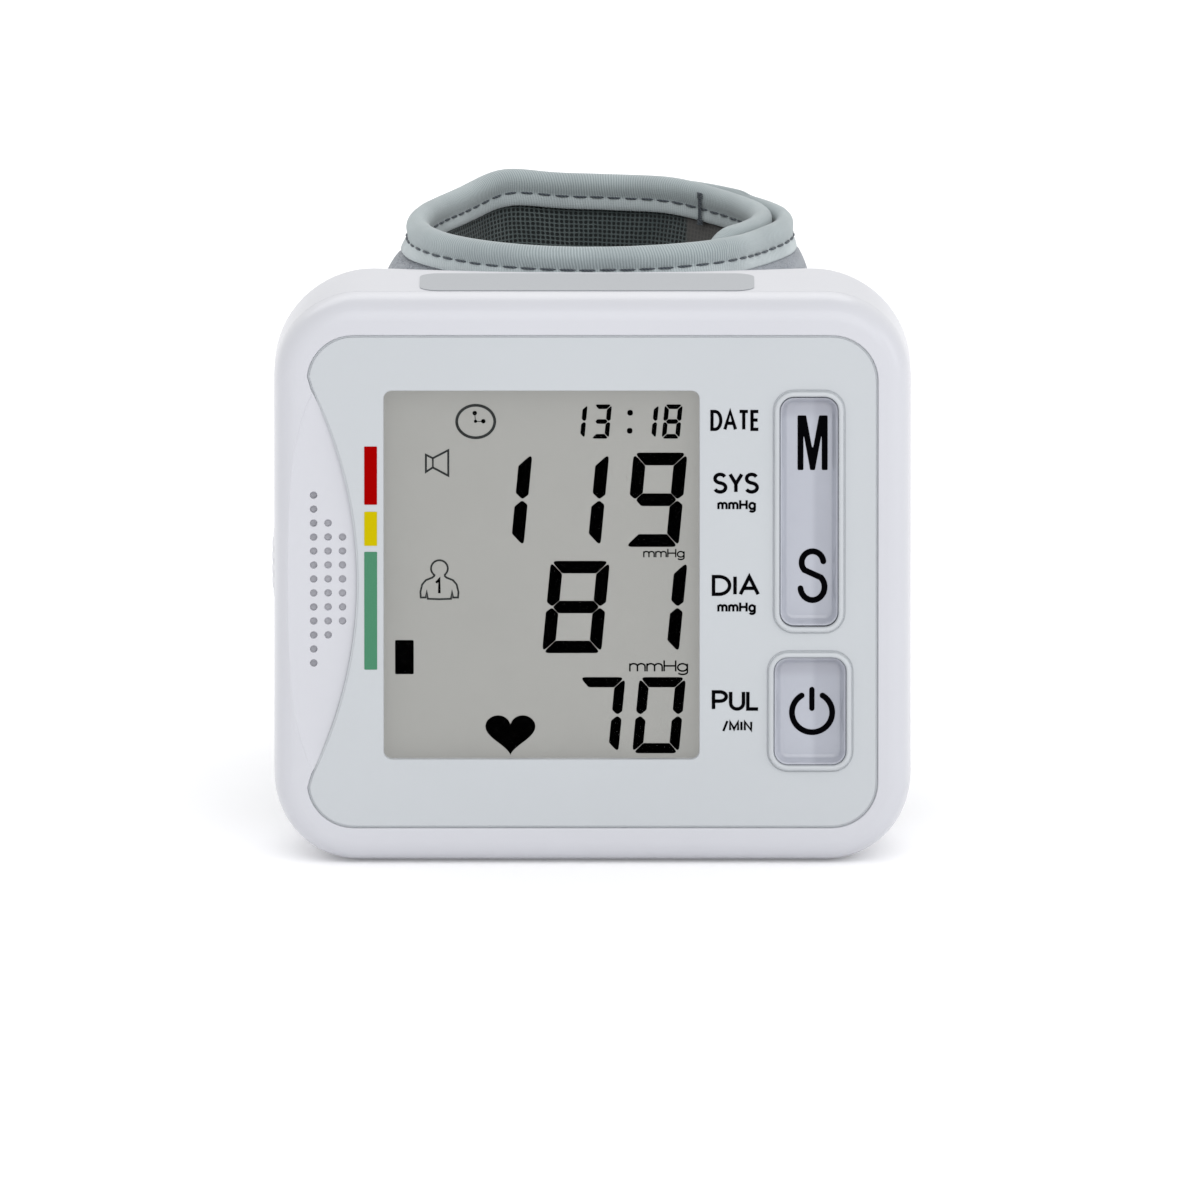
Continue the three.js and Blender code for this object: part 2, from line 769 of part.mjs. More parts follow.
// Front shell: rim, panel recess, grille, posts and bosses
function makeFrontShell() {
  const body = caseBody(0, 0, 0, caseDepth);
  const ahead = block(-caseWidth, caseWidth, -overrun, seamDepth - seamGap / 2,
    -overrun, caseHeight + overrun);
  const lipAhead = block(-caseWidth, caseWidth, -overrun, seamDepth + lipDepth,
    -overrun, caseHeight + overrun);
  const lip = caseBody(wall - lipThickness, 0, 0, caseDepth).intersect(lipAhead);
  const cavity = caseBody(wall, wall, cavityFront, cavityBack);
  let shell = cutBy(joined(body.intersect(ahead), lip), cavity);
  for (const [x, z] of bossPlaces) {
    shell = shell.add(rodAlongDepth(caseBossRadius, x, z, cavityFront - overrun, bossJoinDepth - fitGap));
  }
  for (const [x, z] of boardScrewPlaces) {
    shell = shell.add(rodAlongDepth(boardPostRadius, x, z, cavityFront - overrun, boardDepth - fitGap));
  }
  const pinReach = rockerKeyWidth / 2 + keyFlangeWidth + rockerPinReach;
  const bearingDepth = keyFlangeDepth + keyFlangeThickness / 2;
  for (const side of [-1, 1]) {
    const inner = rockerKeyX + side * (pinReach - rockerPinReach + softGap);
    const outer = rockerKeyX + side * (pinReach + softGap);
    shell = shell.add(block(Math.min(inner, outer), Math.max(inner, outer), cavityFront - overrun,
      bearingDepth + rockerPinRadius * 2, rockerKeyZ - rockerBearingReach,
      rockerKeyZ + rockerBearingReach));
  }
  const pinHole = rodAlongX(rockerPinRadius + fitGap, rockerKeyX - pinReach - fitGap,
    rockerKeyX + pinReach + fitGap, bearingDepth, rockerKeyZ, roundSides);
  const cutters = [
    fromFront(panelShape(grooveWidth), -overrun, panelSeat, cornerSteps),
    fromFront(roundedShape(windowCentreX, windowCentreZ, windowWidth + windowFlangeWidth * 2,
      windowHeight + windowFlangeWidth * 2, windowCornerRadius), 0, cavityFront + overrun),
    fromFront(keyShape(keys.power, keyClearance), 0, cavityFront + overrun),
    fromFront(keyShape(keys.rocker, keyClearance), 0, cavityFront + overrun),
    pinHole,
  ];
  for (const [x, z] of bossPlaces) {
    cutters.push(rodAlongDepth(screwShankRadius + fitGap, x, z, cavityFront + wall,
      bossJoinDepth + overrun, roundSides));
  }
  for (const [x, z] of boardScrewPlaces) {
    cutters.push(rodAlongDepth(screwShankRadius + fitGap, x, z, cavityFront + fitGap,
      boardDepth + overrun, roundSides));
  }
  for (const [x, z] of grillePlaces) {
    cutters.push(rodAlongDepth(grilleHoleRadius, x, z, -overrun, cavityFront + overrun, holeSides));
  }
  const scoop = new THREE.SphereGeometry(1, roundSides, roundSides / 2);
  scoop.rotateX(Math.PI / 2);
  scoop.scale(scoopWidth / 2, scoopDepth, caseHeight / 2 - scoopEndMargin);
  scoop.translate(scoopInset - caseWidth / 2, yAt(0), caseHeight / 2);
  cutters.push(solidOf(scoop));
  addPiece('front_case', cutBy(shell, ...cutters), whitePlastic);
}

// Rear shell: bosses with counterbores, battery bay, hook slots and nozzle hole
function makeRearShell() {
  const body = caseBody(0, 0, 0, caseDepth);
  const behind = block(-caseWidth, caseWidth, seamDepth + seamGap / 2, caseDepth + overrun,
    -overrun, caseHeight + overrun);
  const cavity = caseBody(wall, wall, seamDepth - overrun, cavityBack);
  const rebateBlock = block(-caseWidth, caseWidth, seamDepth - overrun, seamDepth + lipDepth + fitGap,
    -overrun, caseHeight + overrun);
  const rebate = caseBody(wall - lipThickness - fitGap, 0, 0, caseDepth).intersect(rebateBlock);
  let shell = cutBy(body.intersect(behind), cavity, rebate);
  const room = caseBody(wall / 2, wall / 2, seamDepth + lipDepth + overrun, caseDepth - wall / 2);
  for (const [x, z] of bossPlaces) {
    const boss = rodAlongDepth(caseBossRadius, x, z, bossJoinDepth, caseDepth - wall / 2);
    shell = shell.add(boss.intersect(room));
  }
  const bayOuter = block(-caseWidth / 2 + wall / 2, bayRight + bayWall, bayFloor - bayWall,
    cavityBack + wall / 2, bayLow - bayWall, bayHigh + bayWall);
  const bayInner = block(-caseWidth, bayRight, bayFloor, caseDepth, bayLow, bayHigh);
  const bay = bayOuter.subtract(bayInner);
  shell = shell.add(bay.intersect(room));
  const ribFront = pumpAxisDepth + valveWidth / 2 + fitGap;
  for (const share of ribShares) {
    const z = valveBottom + valveHeight * share;
    shell = shell.add(blockRound(valveX, valveWidth, ribFront, cavityBack + wall / 2, z, bayWall));
  }
  const aheadOfBay = block(-caseWidth, caseWidth, -overrun, bayFloor, -overrun, caseHeight + overrun);
  const cutters = [
    doorBlock(doorGap).subtract(aheadOfBay),
    tongueBlocks(fitGap, tongueReach + fitGap),
    rodAlongDepth(nozzleRadius + fitGap, nozzleX, manifoldZ, cavityBack - overrun, caseDepth + overrun),
  ];
  for (const [x, z] of bossPlaces) {
    cutters.push(rodAlongDepth(counterboreRadius, x, z, counterboreFloor, caseDepth + overrun));
    cutters.push(rodAlongDepth(screwShankRadius + fitGap, x, z, bossJoinDepth - overrun,
      counterboreFloor + overrun, roundSides));
  }
  for (const [x, z] of hookPlaces) {
    cutters.push(blockRound(x, hookWidth + hookGap * 2, cavityBack - overrun, caseDepth + overrun, z,
      hookHeight + hookGap * 2));
  }
  addPiece('rear_case', cutBy(shell, ...cutters), whitePlastic);
}

// Face panel with its window opening and a raised rim round each key
function makePanel() {
  let panel = fromFront(panelShape(0), panelSetback, panelDepth, cornerSteps);
  const holes = [fromFront(roundedShape(windowCentreX, windowCentreZ, windowWidth, windowHeight,
    windowCornerRadius), -overrun, panelSeat)];
  for (const key of Object.values(keys)) {
    const levels = [
      [keyRimWidth, panelDepth],
      [keyRimWidth, 0],
      [keyRimWidth - keyRimRound, -keyRimHeight],
    ];
    const outlines = levels.map(([grow]) => keyOutline(key, grow + keyClearance));
    const rings = outlines.map((outline, i) => outline.map(
      (point) => new THREE.Vector3(point.x, yAt(levels[i][1]), point.y)));
    panel = panel.add(skinOver(rings, outlines[0], outlines[outlines.length - 1]));
    holes.push(fromFront(keyShape(key, keyClearance), -overrun, panelSeat));
  }
  addPiece('face_panel', cutBy(panel, ...holes), panelPlastic);
}

function keyOutline(key, grow) {
  const points = [];
  for (const curve of keyShape(key, grow).curves.filter((part) => part.isEllipseCurve)) {
    points.push(...curve.getPoints(keyCornerSteps));
  }
  return points;
}

// Clear window with a flange that seats behind the panel
function makeWindow() {
  const bossWidth = windowWidth - softGap * 2;
  const bossHeight = windowHeight - softGap * 2;
  const boss = fromFront(roundedShape(windowCentreX, windowCentreZ, bossWidth, bossHeight,
    windowCornerRadius), windowSetback, panelSeat + fitGap);
  const flange = fromFront(roundedShape(windowCentreX, windowCentreZ,
    windowWidth + (windowFlangeWidth - fitGap) * 2, windowHeight + (windowFlangeWidth - fitGap) * 2,
    windowCornerRadius), panelSeat, panelSeat + windowFlangeDepth);
  addPiece('display_window', joined(boss, flange), clearPlastic);
}

// Display glass in its frame, and the strip that joins it to the board
const glassFront = cavityFront + glassGap - softGap;
const glassBack = glassFront + glassThickness;
const glassWidth = windowWidth + glassMargin * 2;
const glassHeight = windowHeight + glassMargin * 2;

function makeDisplay() {
  addPiece('lcd_glass', blockRound(windowCentreX, glassWidth, glassFront, glassBack,
    windowCentreZ, glassHeight), displayGlass);
  const outer = fromFront(roundedShape(windowCentreX, windowCentreZ, glassWidth + frameRimWidth * 2,
    glassHeight + frameRimWidth * 2, windowCornerRadius), cavityFront + fitGap, boardDepth - fitGap);
  const seat = blockRound(windowCentreX, glassWidth + fitGap * 2, -overrun, glassBack + fitGap,
    windowCentreZ, glassHeight + fitGap * 2);
  const through = blockRound(windowCentreX, glassWidth - frameLedge * 2, -overrun, boardDepth,
    windowCentreZ, glassHeight - frameLedge * 2);
  addPiece('lcd_frame', cutBy(outer, seat, through), innerPlastic);
  const stripLow = windowCentreZ - glassHeight / 2 + frameLedge + softGap;
  const stripHalf = windowWidth / 2 - stripMargin;
  addPiece('lcd_connector_strip', block(windowCentreX - stripHalf, windowCentreX + stripHalf,
    glassBack + fitGap, boardDepth - fitGap, stripLow, stripLow + stripHeight), darkRubber);
}

// Main board with its shoulders cut back for the corner bosses, and the parts soldered on it
function makeBoard() {
  const middleX = (boardLeft + boardShoulder) / 2;
  const middleZ = (boardLow + boardHigh) / 2;
  const body = fromFront(roundedShape(middleX, middleZ, boardShoulder - boardLeft, boardHigh - boardLow,
    boardCornerRadius), boardDepth, boardBack);
  const tab = fromFront(roundedShape((middleX + boardRight) / 2, (boardTabLow + boardTabHigh) / 2,
    boardRight - middleX, boardTabHigh - boardTabLow, boardCornerRadius), boardDepth, boardBack);
  const holes = boardScrewPlaces.map(([x, z]) => rodAlongDepth(screwShankRadius + fitGap * 2, x, z,
    boardDepth - overrun, boardBack + overrun, roundSides));
  addPiece('main_board', cutBy(joined(body, tab), ...holes), boardGreen);
  addPiece('controller_chip', blockRound(boardLeft + chipInset, chipSize, boardBack + fitGap,
    boardBack + chipHeight, caseHeight / 2 + chipRise, chipSize), blackPlastic);
  const foot = boardBack + fitGap;
  addPiece('capacitor', turnedBack([
    [0, foot],
    [capacitorRadius, foot],
    [capacitorRadius, foot + capacitorHeight - edgeRound],
    [capacitorRadius - edgeRound, foot + capacitorHeight],
    [0, foot + capacitorHeight],
  ], windowCentreX, caseHeight / 2 + capacitorRise), blackPlastic);
}

// Self-tapping screws: pan head, shank and point
function screwProfile(headDepth, length) {
  return [
    [0, headDepth + screwHeadHeight],
    [screwHeadRadius - edgeRound, headDepth + screwHeadHeight],
    [screwHeadRadius, headDepth + screwHeadHeight - edgeRound],
    [screwHeadRadius, headDepth],
    [screwShankRadius, headDepth],
    [screwShankRadius, headDepth - length + screwShankRadius],
    [0, headDepth - length],
  ].reverse();
}

function makeScrews() {
  bossPlaces.forEach(([x, z], i) => {
    const head = counterboreFloor + fitGap;
    addPiece(`case_screw_${i + 1}`, turnedBack(screwProfile(head, head - caseScrewTip), x, z, roundSides),
      plainSteel);
  });
  boardScrewPlaces.forEach(([x, z], i) => {
    addPiece(`board_screw_${i + 1}`, turnedBack(screwProfile(boardBack + fitGap, boardScrewLength),
      x, z, roundSides), plainSteel);
  });
}

// A dished cap with a flange behind the shell
function keyBody(key, dishAlongZ) {
  const cap = fromFront(keyShape(key, 0), keySetback, keyFlangeDepth + fitGap);
  const flange = fromFront(roundedShape(key.x, key.z, key.width + keyFlangeWidth * 2,
    key.height + keyFlangeWidth * 2, keyCornerRadius), keyFlangeDepth, keyFlangeDepth + keyFlangeThickness);
  const half = (dishAlongZ ? key.height : key.width) / 2 - keyRimWidth;
  const dishRadius = (half ** 2 + dishDepth ** 2) / (dishDepth * 2);
  const reach = Math.asin(half / dishRadius);
  const dish = new THREE.Shape();
  const front = yAt(keySetback);
  dish.absarc(front - dishRadius + dishDepth, key.z, dishRadius, -reach, reach);
  dish.lineTo(front - overrun, key.z + half);
  dish.lineTo(front - overrun, key.z - half);
  dish.closePath();
  const inset = key.width / 2 - keyRimWidth;
  return cutBy(joined(cap, flange), fromSide(dish, key.x - inset, key.x + inset, roundSides));
}

function makeKeys() {
  const power = keyBody(keys.power, true);
  const flangeBack = keyFlangeDepth + keyFlangeThickness;
  addPiece('power_button', power.add(rodAlongDepth(keyPostRadius, powerKeyX, powerKeyZ,
    flangeBack - fitGap, keyPostTip)), keyPlastic);
  let rocker = keyBody(keys.rocker, true);
  for (const side of [-1, 1]) {
    rocker = rocker.add(rodAlongDepth(keyPostRadius, rockerKeyX, rockerKeyZ + side * rockerPostOffset,
      flangeBack - fitGap, keyPostTip));
  }
  const pinReach = rockerKeyWidth / 2 + keyFlangeWidth + rockerPinReach;
  rocker = rocker.add(rodAlongX(rockerPinRadius, rockerKeyX - pinReach, rockerKeyX + pinReach,
    keyFlangeDepth + keyFlangeThickness / 2, rockerKeyZ));
  addPiece('memory_set_key', rocker, keyPlastic);
}

// Tact switches: a housing on the board and its plunger under the key's post
function makeSwitches() {
  const back = boardDepth - fitGap;
  const well = rodAlongDepth(plungerRadius + fitGap, powerKeyX, powerKeyZ, -overrun,
    plungerTop + plungerLength + powerTravel + fitGap);
  const housing = blockRound(powerKeyX, switchSize, switchFront, back, powerKeyZ, switchSize);
  addPiece('power_switch', cutBy(housing, well), blackPlastic);
  addPiece('power_switch_plunger', rodAlongDepth(plungerRadius, powerKeyX, powerKeyZ, plungerTop,
    plungerTop + plungerLength), innerPlastic);
  const dip = (rockerPostOffset + keyPostRadius) * Math.sin(toRadians(rockerTilt));
  const places = {
    set_switch: rockerKeyZ - rockerPostOffset,
    memory_switch: rockerKeyZ + rockerPostOffset,
  };
  for (const [name, z] of Object.entries(places)) {
    addPiece(name, joined(
      blockRound(rockerKeyX, switchSize, switchFront, back, z, switchSize),
      rodAlongDepth(plungerRadius, rockerKeyX, z, keyPostTip + dip + fitGap, switchFront + fitGap),
    ), blackPlastic);
  }
}

// Slim speaker behind the grille: rim with a cone sunk in it, and the magnet
function makeSpeaker() {
  const front = cavityFront + fitGap;
  const x = speakerInset - caseWidth / 2;
  const z = caseHeight / 2;
  const coneWidth = speakerWidth - speakerMagnetInset * 2;
  const rim = fromFront(roundedShape(x, z, speakerWidth, speakerHeight, speakerWidth / 2 - fitGap),
    front, front + speakerRimDepth, cornerSteps);
  const cone = fromFront(roundedShape(x, z, coneWidth, speakerHeight - speakerMagnetInset * 2,
    coneWidth / 2 - fitGap), front - overrun, front + coneDepth, cornerSteps);
  const magnet = blockRound(x, coneWidth, front + coneDepth + fitGap,
    front + speakerRimDepth + speakerMagnetDepth, z, speakerMagnetHeight);
  addPiece('speaker', joined(cutBy(rim, cone), magnet), blackPlastic);
}

// Battery cells stand side by side in the bay, one each way up
function batteryProfile(low, upward) {
  const heights = [
    [0, 0],
    [batteryRadius - edgeRound, 0],
    [batteryRadius, edgeRound],
    [batteryRadius, batteryLength - batteryNubHeight - edgeRound],
    [batteryRadius - edgeRound, batteryLength - batteryNubHeight],
    [batteryNubRadius, batteryLength - batteryNubHeight],
    [batteryNubRadius, batteryLength],
    [0, batteryLength],
  ];
  const placed = heights.map(([radius, height]) => [
    radius, upward ? low + height : low + batteryLength - height]);
  return upward ? placed : placed.reverse();
}

function coilSpring(centreX, baseZ, direction) {
  class Coil extends THREE.Curve {
    getPoint(share, target = new THREE.Vector3()) {
      const turn = share * springTurns * Math.PI * 2;
      const radius = springRadius * (1 - share * springTaperShare);
      return target.set(centreX + Math.cos(turn) * radius, yAt(batteryDepth) + Math.sin(turn) * radius,
        baseZ + direction * share * springHeight);
    }
  }
  return tubeAlong(new Coil(), springWireRadius, springTurns * curlSteps, holeSides);
}

function makeBatteries() {
  const plateLow = bayLow + fitGap;
  const plateHigh = bayHigh - fitGap;
  const springBase = contactThickness + springWireRadius / 2;
  const springRoom = contactThickness + springHeight + springWireRadius * 2;
  const low = plateLow + springRoom;
  const high = plateHigh - springRoom - batteryLength;
  addPiece('battery_1', turnedUp(batteryProfile(low, true), batteryOneX, batteryDepth, fineSides),
    plainSteel);
  addPiece('battery_2', turnedUp(batteryProfile(high, false), batteryTwoX, batteryDepth, fineSides),
    plainSteel);
  const half = contactWidth / 2;
  const plateFrom = batteryDepth - half;
  const plateTo = batteryDepth + half;
  addPiece('battery_spring_contact', joined(
    block(batteryOneX - half, batteryOneX + half, plateFrom, plateTo, plateLow,
      plateLow + contactThickness),
    coilSpring(batteryOneX, plateLow + springBase, 1),
  ), plainSteel);
  addPiece('battery_plate_contact', joined(
    block(batteryTwoX - half, batteryTwoX + half, plateFrom, plateTo, plateLow,
      plateLow + contactThickness),
    rodAlongZ(batteryNubRadius, batteryTwoX, batteryDepth, plateLow, high - fitGap * 2, roundSides),
  ), plainSteel);
  addPiece('battery_bridge_contact', joined(
    block(batteryOneX - half, batteryTwoX + half, plateFrom, plateTo, plateHigh - contactThickness,
      plateHigh),
    rodAlongZ(batteryNubRadius, batteryOneX, batteryDepth, low + batteryLength + fitGap * 2,
      plateHigh, roundSides),
    coilSpring(batteryTwoX, plateHigh - springBase, -1),
  ), plainSteel);
}

// Battery door: an L-shaped piece of the shell with a thumb grip on its side and two tongues
function makeDoor() {
  const skin = caseBody(doorStep, 0, 0, caseDepth).subtract(caseBody(wall, wall, cavityFront, cavityBack));
  const gripRadius = ((gripHeight / 2) ** 2 + gripProud ** 2) / (gripProud * 2);
  const face = -caseWidth / 2 + doorStep;
  const gripMiddle = caseDepth - doorSideDepth / 2 - wall;
  const grip = new THREE.Shape();
  const reach = Math.asin(gripHeight / 2 / gripRadius);
  grip.absarc(face - gripProud + gripRadius, caseHeight / 2, gripRadius, Math.PI - reach, Math.PI + reach);
  grip.lineTo(face + wall / 2, caseHeight / 2 - gripHeight / 2);
  grip.lineTo(face + wall / 2, caseHeight / 2 + gripHeight / 2);
  grip.closePath();
  const gripSolid = fromFront(grip, gripMiddle - gripDepth / 2, gripMiddle + gripDepth / 2, holeSides);
  const tongues = tongueBlocks(0, tongueReach);
  const tongueRoot = block(doorRight - tongueReach, doorRight - doorGap,
    cavityBack - doorGap - tongueThickness, caseDepth - wall / 2,
    caseHeight / 2 - tongueOffset - tongueWidth / 2, caseHeight / 2 + tongueOffset + tongueWidth / 2);
  const cover = skin.intersect(doorBlock(0));
  addPiece('battery_door', joined(cover, gripSolid, tongueRoot, tongues), whitePlastic);
}

// Pump, valve and sensor, each with a nipple for its air line
const tubeStart = manifoldZ - nippleLength - tubeBend;
const pumpHeadHigh = tubeStart - fitGap;
const pumpHeadLow = pumpHeadHigh - pumpHeadHeight;
const pumpLength = pumpHeadLow - fitGap - pumpBottom;
const sleeveLength = pumpLength * sleeveShare;
const sensorBack = boardBack + fitGap + sensorHeight;

function nippleUp(x, depth, fromZ, toZ) {
  return rodAlongZ(nippleRadius, x, depth, fromZ, toZ, airSides);
}

function makePump() {
  const bottom = pumpBottom;
  addPiece('pump_motor', turnedUp([
    [0, bottom - nippleRadius],
    [nippleRadius * 2, bottom - nippleRadius],
    [nippleRadius * 2, bottom],
    [pumpRadius - fitGap, bottom],
    [pumpRadius, bottom + edgeRound],
    [pumpRadius, bottom + pumpLength],
    [0, bottom + pumpLength],
  ], pumpX, pumpAxisDepth, fineSides), plainSteel);
  const sleeveLow = bottom + (pumpLength - sleeveLength) / 2;
  addPiece('pump_sleeve', cutBy(
    rodAlongZ(pumpRadius + softGap + sleeveThickness, pumpX, pumpAxisDepth, sleeveLow,
      sleeveLow + sleeveLength, fineSides),
    rodAlongZ(pumpRadius + softGap, pumpX, pumpAxisDepth, sleeveLow - overrun,
      sleeveLow + sleeveLength + overrun, fineSides),
  ), darkRubber);
  const halfHead = pumpRadius - fitGap;
  const head = block(pumpX - halfHead, pumpX + halfHead, pumpAxisDepth - halfHead, pumpAxisDepth + halfHead,
    pumpHeadLow, pumpHeadHigh - pumpDomeHeight);
  const dome = rodAlongZ(halfHead, pumpX, pumpAxisDepth, pumpHeadLow + fitGap, pumpHeadHigh, fineSides);
  const spout = nippleUp(pumpX, pumpAxisDepth, pumpHeadHigh - overrun, pumpHeadHigh + nippleLength);
  const bore = rodAlongZ(nippleBore, pumpX, pumpAxisDepth, pumpHeadHigh - overrun,
    pumpHeadHigh + nippleLength + overrun, holeSides);
  addPiece('pump_head', cutBy(joined(head, dome, spout), bore), blackPlastic);
}

function makeValveAndSensor() {
  const half = valveWidth / 2;
  const top = valveBottom + valveHeight;
  const body = block(valveX - half, valveX + half, pumpAxisDepth - half, pumpAxisDepth + half,
    valveBottom, top);
  const coil = rodAlongZ(half - wall, valveX, pumpAxisDepth, valveBottom - nippleLength,
    valveBottom + overrun);
  const spout = nippleUp(valveX, pumpAxisDepth, top - overrun, top + nippleLength);
  const bore = rodAlongZ(nippleBore, valveX, pumpAxisDepth, top - overrun,
    top + nippleLength + overrun, holeSides);
  addPiece('release_valve', cutBy(joined(body, coil, spout), bore), plainSteel);
  const chip = blockRound(sensorX, sensorSize, boardBack + fitGap, sensorBack, sensorZ, sensorSize);
  const port = rodAlongDepth(nippleRadius, sensorX, sensorZ, sensorBack - overrun,
    sensorBack + nippleLength, airSides);
  const portBore = rodAlongDepth(nippleBore, sensorX, sensorZ, sensorBack - overrun,
    sensorBack + nippleLength + overrun, holeSides);
  addPiece('pressure_sensor', cutBy(joined(chip, port), portBore), blackPlastic);
}

// Moulded cross that joins the pump, the valve, the sensor and the cuff
function makeManifold() {
  const half = manifoldThickness / 2;
  const body = block(manifoldLeft, manifoldRight, pumpAxisDepth - half, pumpAxisDepth + half,
    manifoldZ - half, manifoldZ + half);
  const right = rodAlongX(nippleRadius, manifoldRight - overrun, manifoldRight + nippleLength,
    pumpAxisDepth, manifoldZ, airSides);
  const downs = [valveX, sensorX].map((x) => nippleUp(x, pumpAxisDepth, manifoldZ - half - nippleLength,
    manifoldZ - half + overrun));
  const bores = [
    rodAlongX(nippleBore, manifoldLeft + overrun, manifoldRight + nippleLength + overrun,
      pumpAxisDepth, manifoldZ, holeSides),
    ...[valveX, sensorX].map((x) => rodAlongZ(nippleBore, x, pumpAxisDepth,
      manifoldZ - half - nippleLength - overrun, manifoldZ, holeSides)),
    rodAlongDepth(nozzleRadius + fitGap, nozzleX, manifoldZ, pumpAxisDepth,
      pumpAxisDepth + half + overrun, airSides),
  ];
  addPiece('air_manifold', cutBy(joined(body, right, ...downs), ...bores), innerPlastic);
  const bladderFace = frontOfLoop - bladderOuter - softGap + caseDepth / 2;
  const nozzleFrom = pumpAxisDepth + fitGap * 2;
  addPiece('cuff_nozzle', cutBy(
    joined(
      rodAlongDepth(nozzleRadius, nozzleX, manifoldZ, nozzleFrom, bladderFace, airSides),
      rodAlongDepth(nozzleRadius + wall / 2, nozzleX, manifoldZ, cavityBack - wall,
        cavityBack - fitGap, airSides),
    ),
    rodAlongDepth(nozzleBore, nozzleX, manifoldZ, nozzleFrom - overrun, bladderFace + overrun, holeSides),
  ), innerPlastic);
}

// Silicone tubes: each a bent pipe that slides over a nipple at both ends
function bentPath(points, bend) {
  const path = new THREE.CurvePath();
  let from = points[0].clone();
  for (let i = 1; i + 1 < points.length; i += 1) {
    const inward = points[i].clone().sub(points[i - 1]).normalize();
    const outward = points[i + 1].clone().sub(points[i]).normalize();
    const start = points[i].clone().addScaledVector(inward, -bend);
    const end = points[i].clone().addScaledVector(outward, bend);
    path.add(new THREE.LineCurve3(from, start));
    path.add(new THREE.QuadraticBezierCurve3(start, points[i].clone(), end));
    from = end;
  }
  path.add(new THREE.LineCurve3(from, points[points.length - 1].clone()));
  return path;
}

function airTube(name, points, bend, steps) {
  const path = bentPath(points, bend);
  const spaced = new THREE.CatmullRomCurve3(path.getSpacedPoints(steps));
  const sides = airSides - 2;
  const outer = tubeAlong(spaced, tubeRadius, steps, sides);
  const ends = [spaced.getPoint(0), spaced.getPoint(1)];
  const tangents = [spaced.getTangent(0), spaced.getTangent(1)];
  const longer = new THREE.CatmullRomCurve3([
    ends[0].clone().addScaledVector(tangents[0], -overrun),
    ...spaced.points,
    ends[1].clone().addScaledVector(tangents[1], overrun),
  ]);
  const inner = tubeAlong(longer, tubeBore, steps + 2, sides);
  addPiece(name, outer.subtract(inner), clearRubber);
}

function makeTubes() {
  const axisY = yAt(pumpAxisDepth);
  const place = (x, z, y = axisY) => new THREE.Vector3(x, y, z);
  const half = manifoldThickness / 2;
  const under = manifoldZ - half - fitGap;
  airTube('pump_tube', [
    place(pumpX, tubeStart),
    place(pumpX, manifoldZ),
    place(manifoldRight + fitGap, manifoldZ),
  ], tubeBend - fitGap, fineSides / 2);
  airTube('valve_tube', [
    place(valveX, valveBottom + valveHeight + fitGap),
    place(valveX, (valveBottom + valveHeight + under) / 2),
    place(valveX, under),
  ], overrun, 2);
  airTube('sensor_tube', [
    place(sensorX, sensorZ, yAt(sensorBack + fitGap)),
    place(sensorX, sensorZ),
    place(sensorX, under),
  ], pumpAxisDepth - sensorBack - nippleLength - fitGap, fineSides / 2);
}

// Mount plate: flat against the case, hollowed to the cuff, with four hooks through the shell
function loopArc(offset) {
  const count = cornerSteps * 2;
  return Array.from({ length: count + 1 }, (unused, i) => loopPoint(
    caseSideAngle + plateHalfAngle * (i / count * 2 - 1), offset));
}

function makeMountPlate() {
  const flat = yAt(caseDepth + fitGap);
  const curve = loopArc(coverBodyOuter + softGap).filter((point) => Math.abs(point.x) < plateHalfWidth);
  const edgeY = curve[0].y;
  const outline = new THREE.Shape([
    new THREE.Vector2(-plateHalfWidth, flat),
    new THREE.Vector2(plateHalfWidth, flat),
    new THREE.Vector2(plateHalfWidth, edgeY),
    ...[...curve].reverse(),
    new THREE.Vector2(-plateHalfWidth, edgeY),
  ]);
  const saddle = fromAbove(outline, plateZ - plateHeight / 2, plateZ + plateHeight / 2);
  const trim = fromFront(roundedShape(0, plateZ, plateHalfWidth * 2, plateHeight, plateCornerRadius),
    caseDepth - overrun, caseDepth * 2);
  let plate = saddle.intersect(trim);
  for (const [x, z] of hookPlaces) {
    const hookFrom = cavityBack - hookReach;
    plate = plate.add(blockRound(x, hookWidth, hookFrom, caseDepth + plateMiddle / 2, z, hookHeight));
    const side = Math.sign(z - plateZ);
    const lipEnd = z + side * (hookHeight / 2 + hookLip);
    plate = plate.add(block(x - hookWidth / 2, x + hookWidth / 2, hookFrom, cavityBack - fitGap,
      Math.min(z, lipEnd), Math.max(z, lipEnd)));
  }
  const passage = rodAlongDepth(nozzleRadius + fitGap, nozzleX, manifoldZ, caseDepth - overrun,
    caseDepth * 2, airSides);
  addPiece('cuff_mount_plate', cutBy(plate, passage), innerPlastic);
}

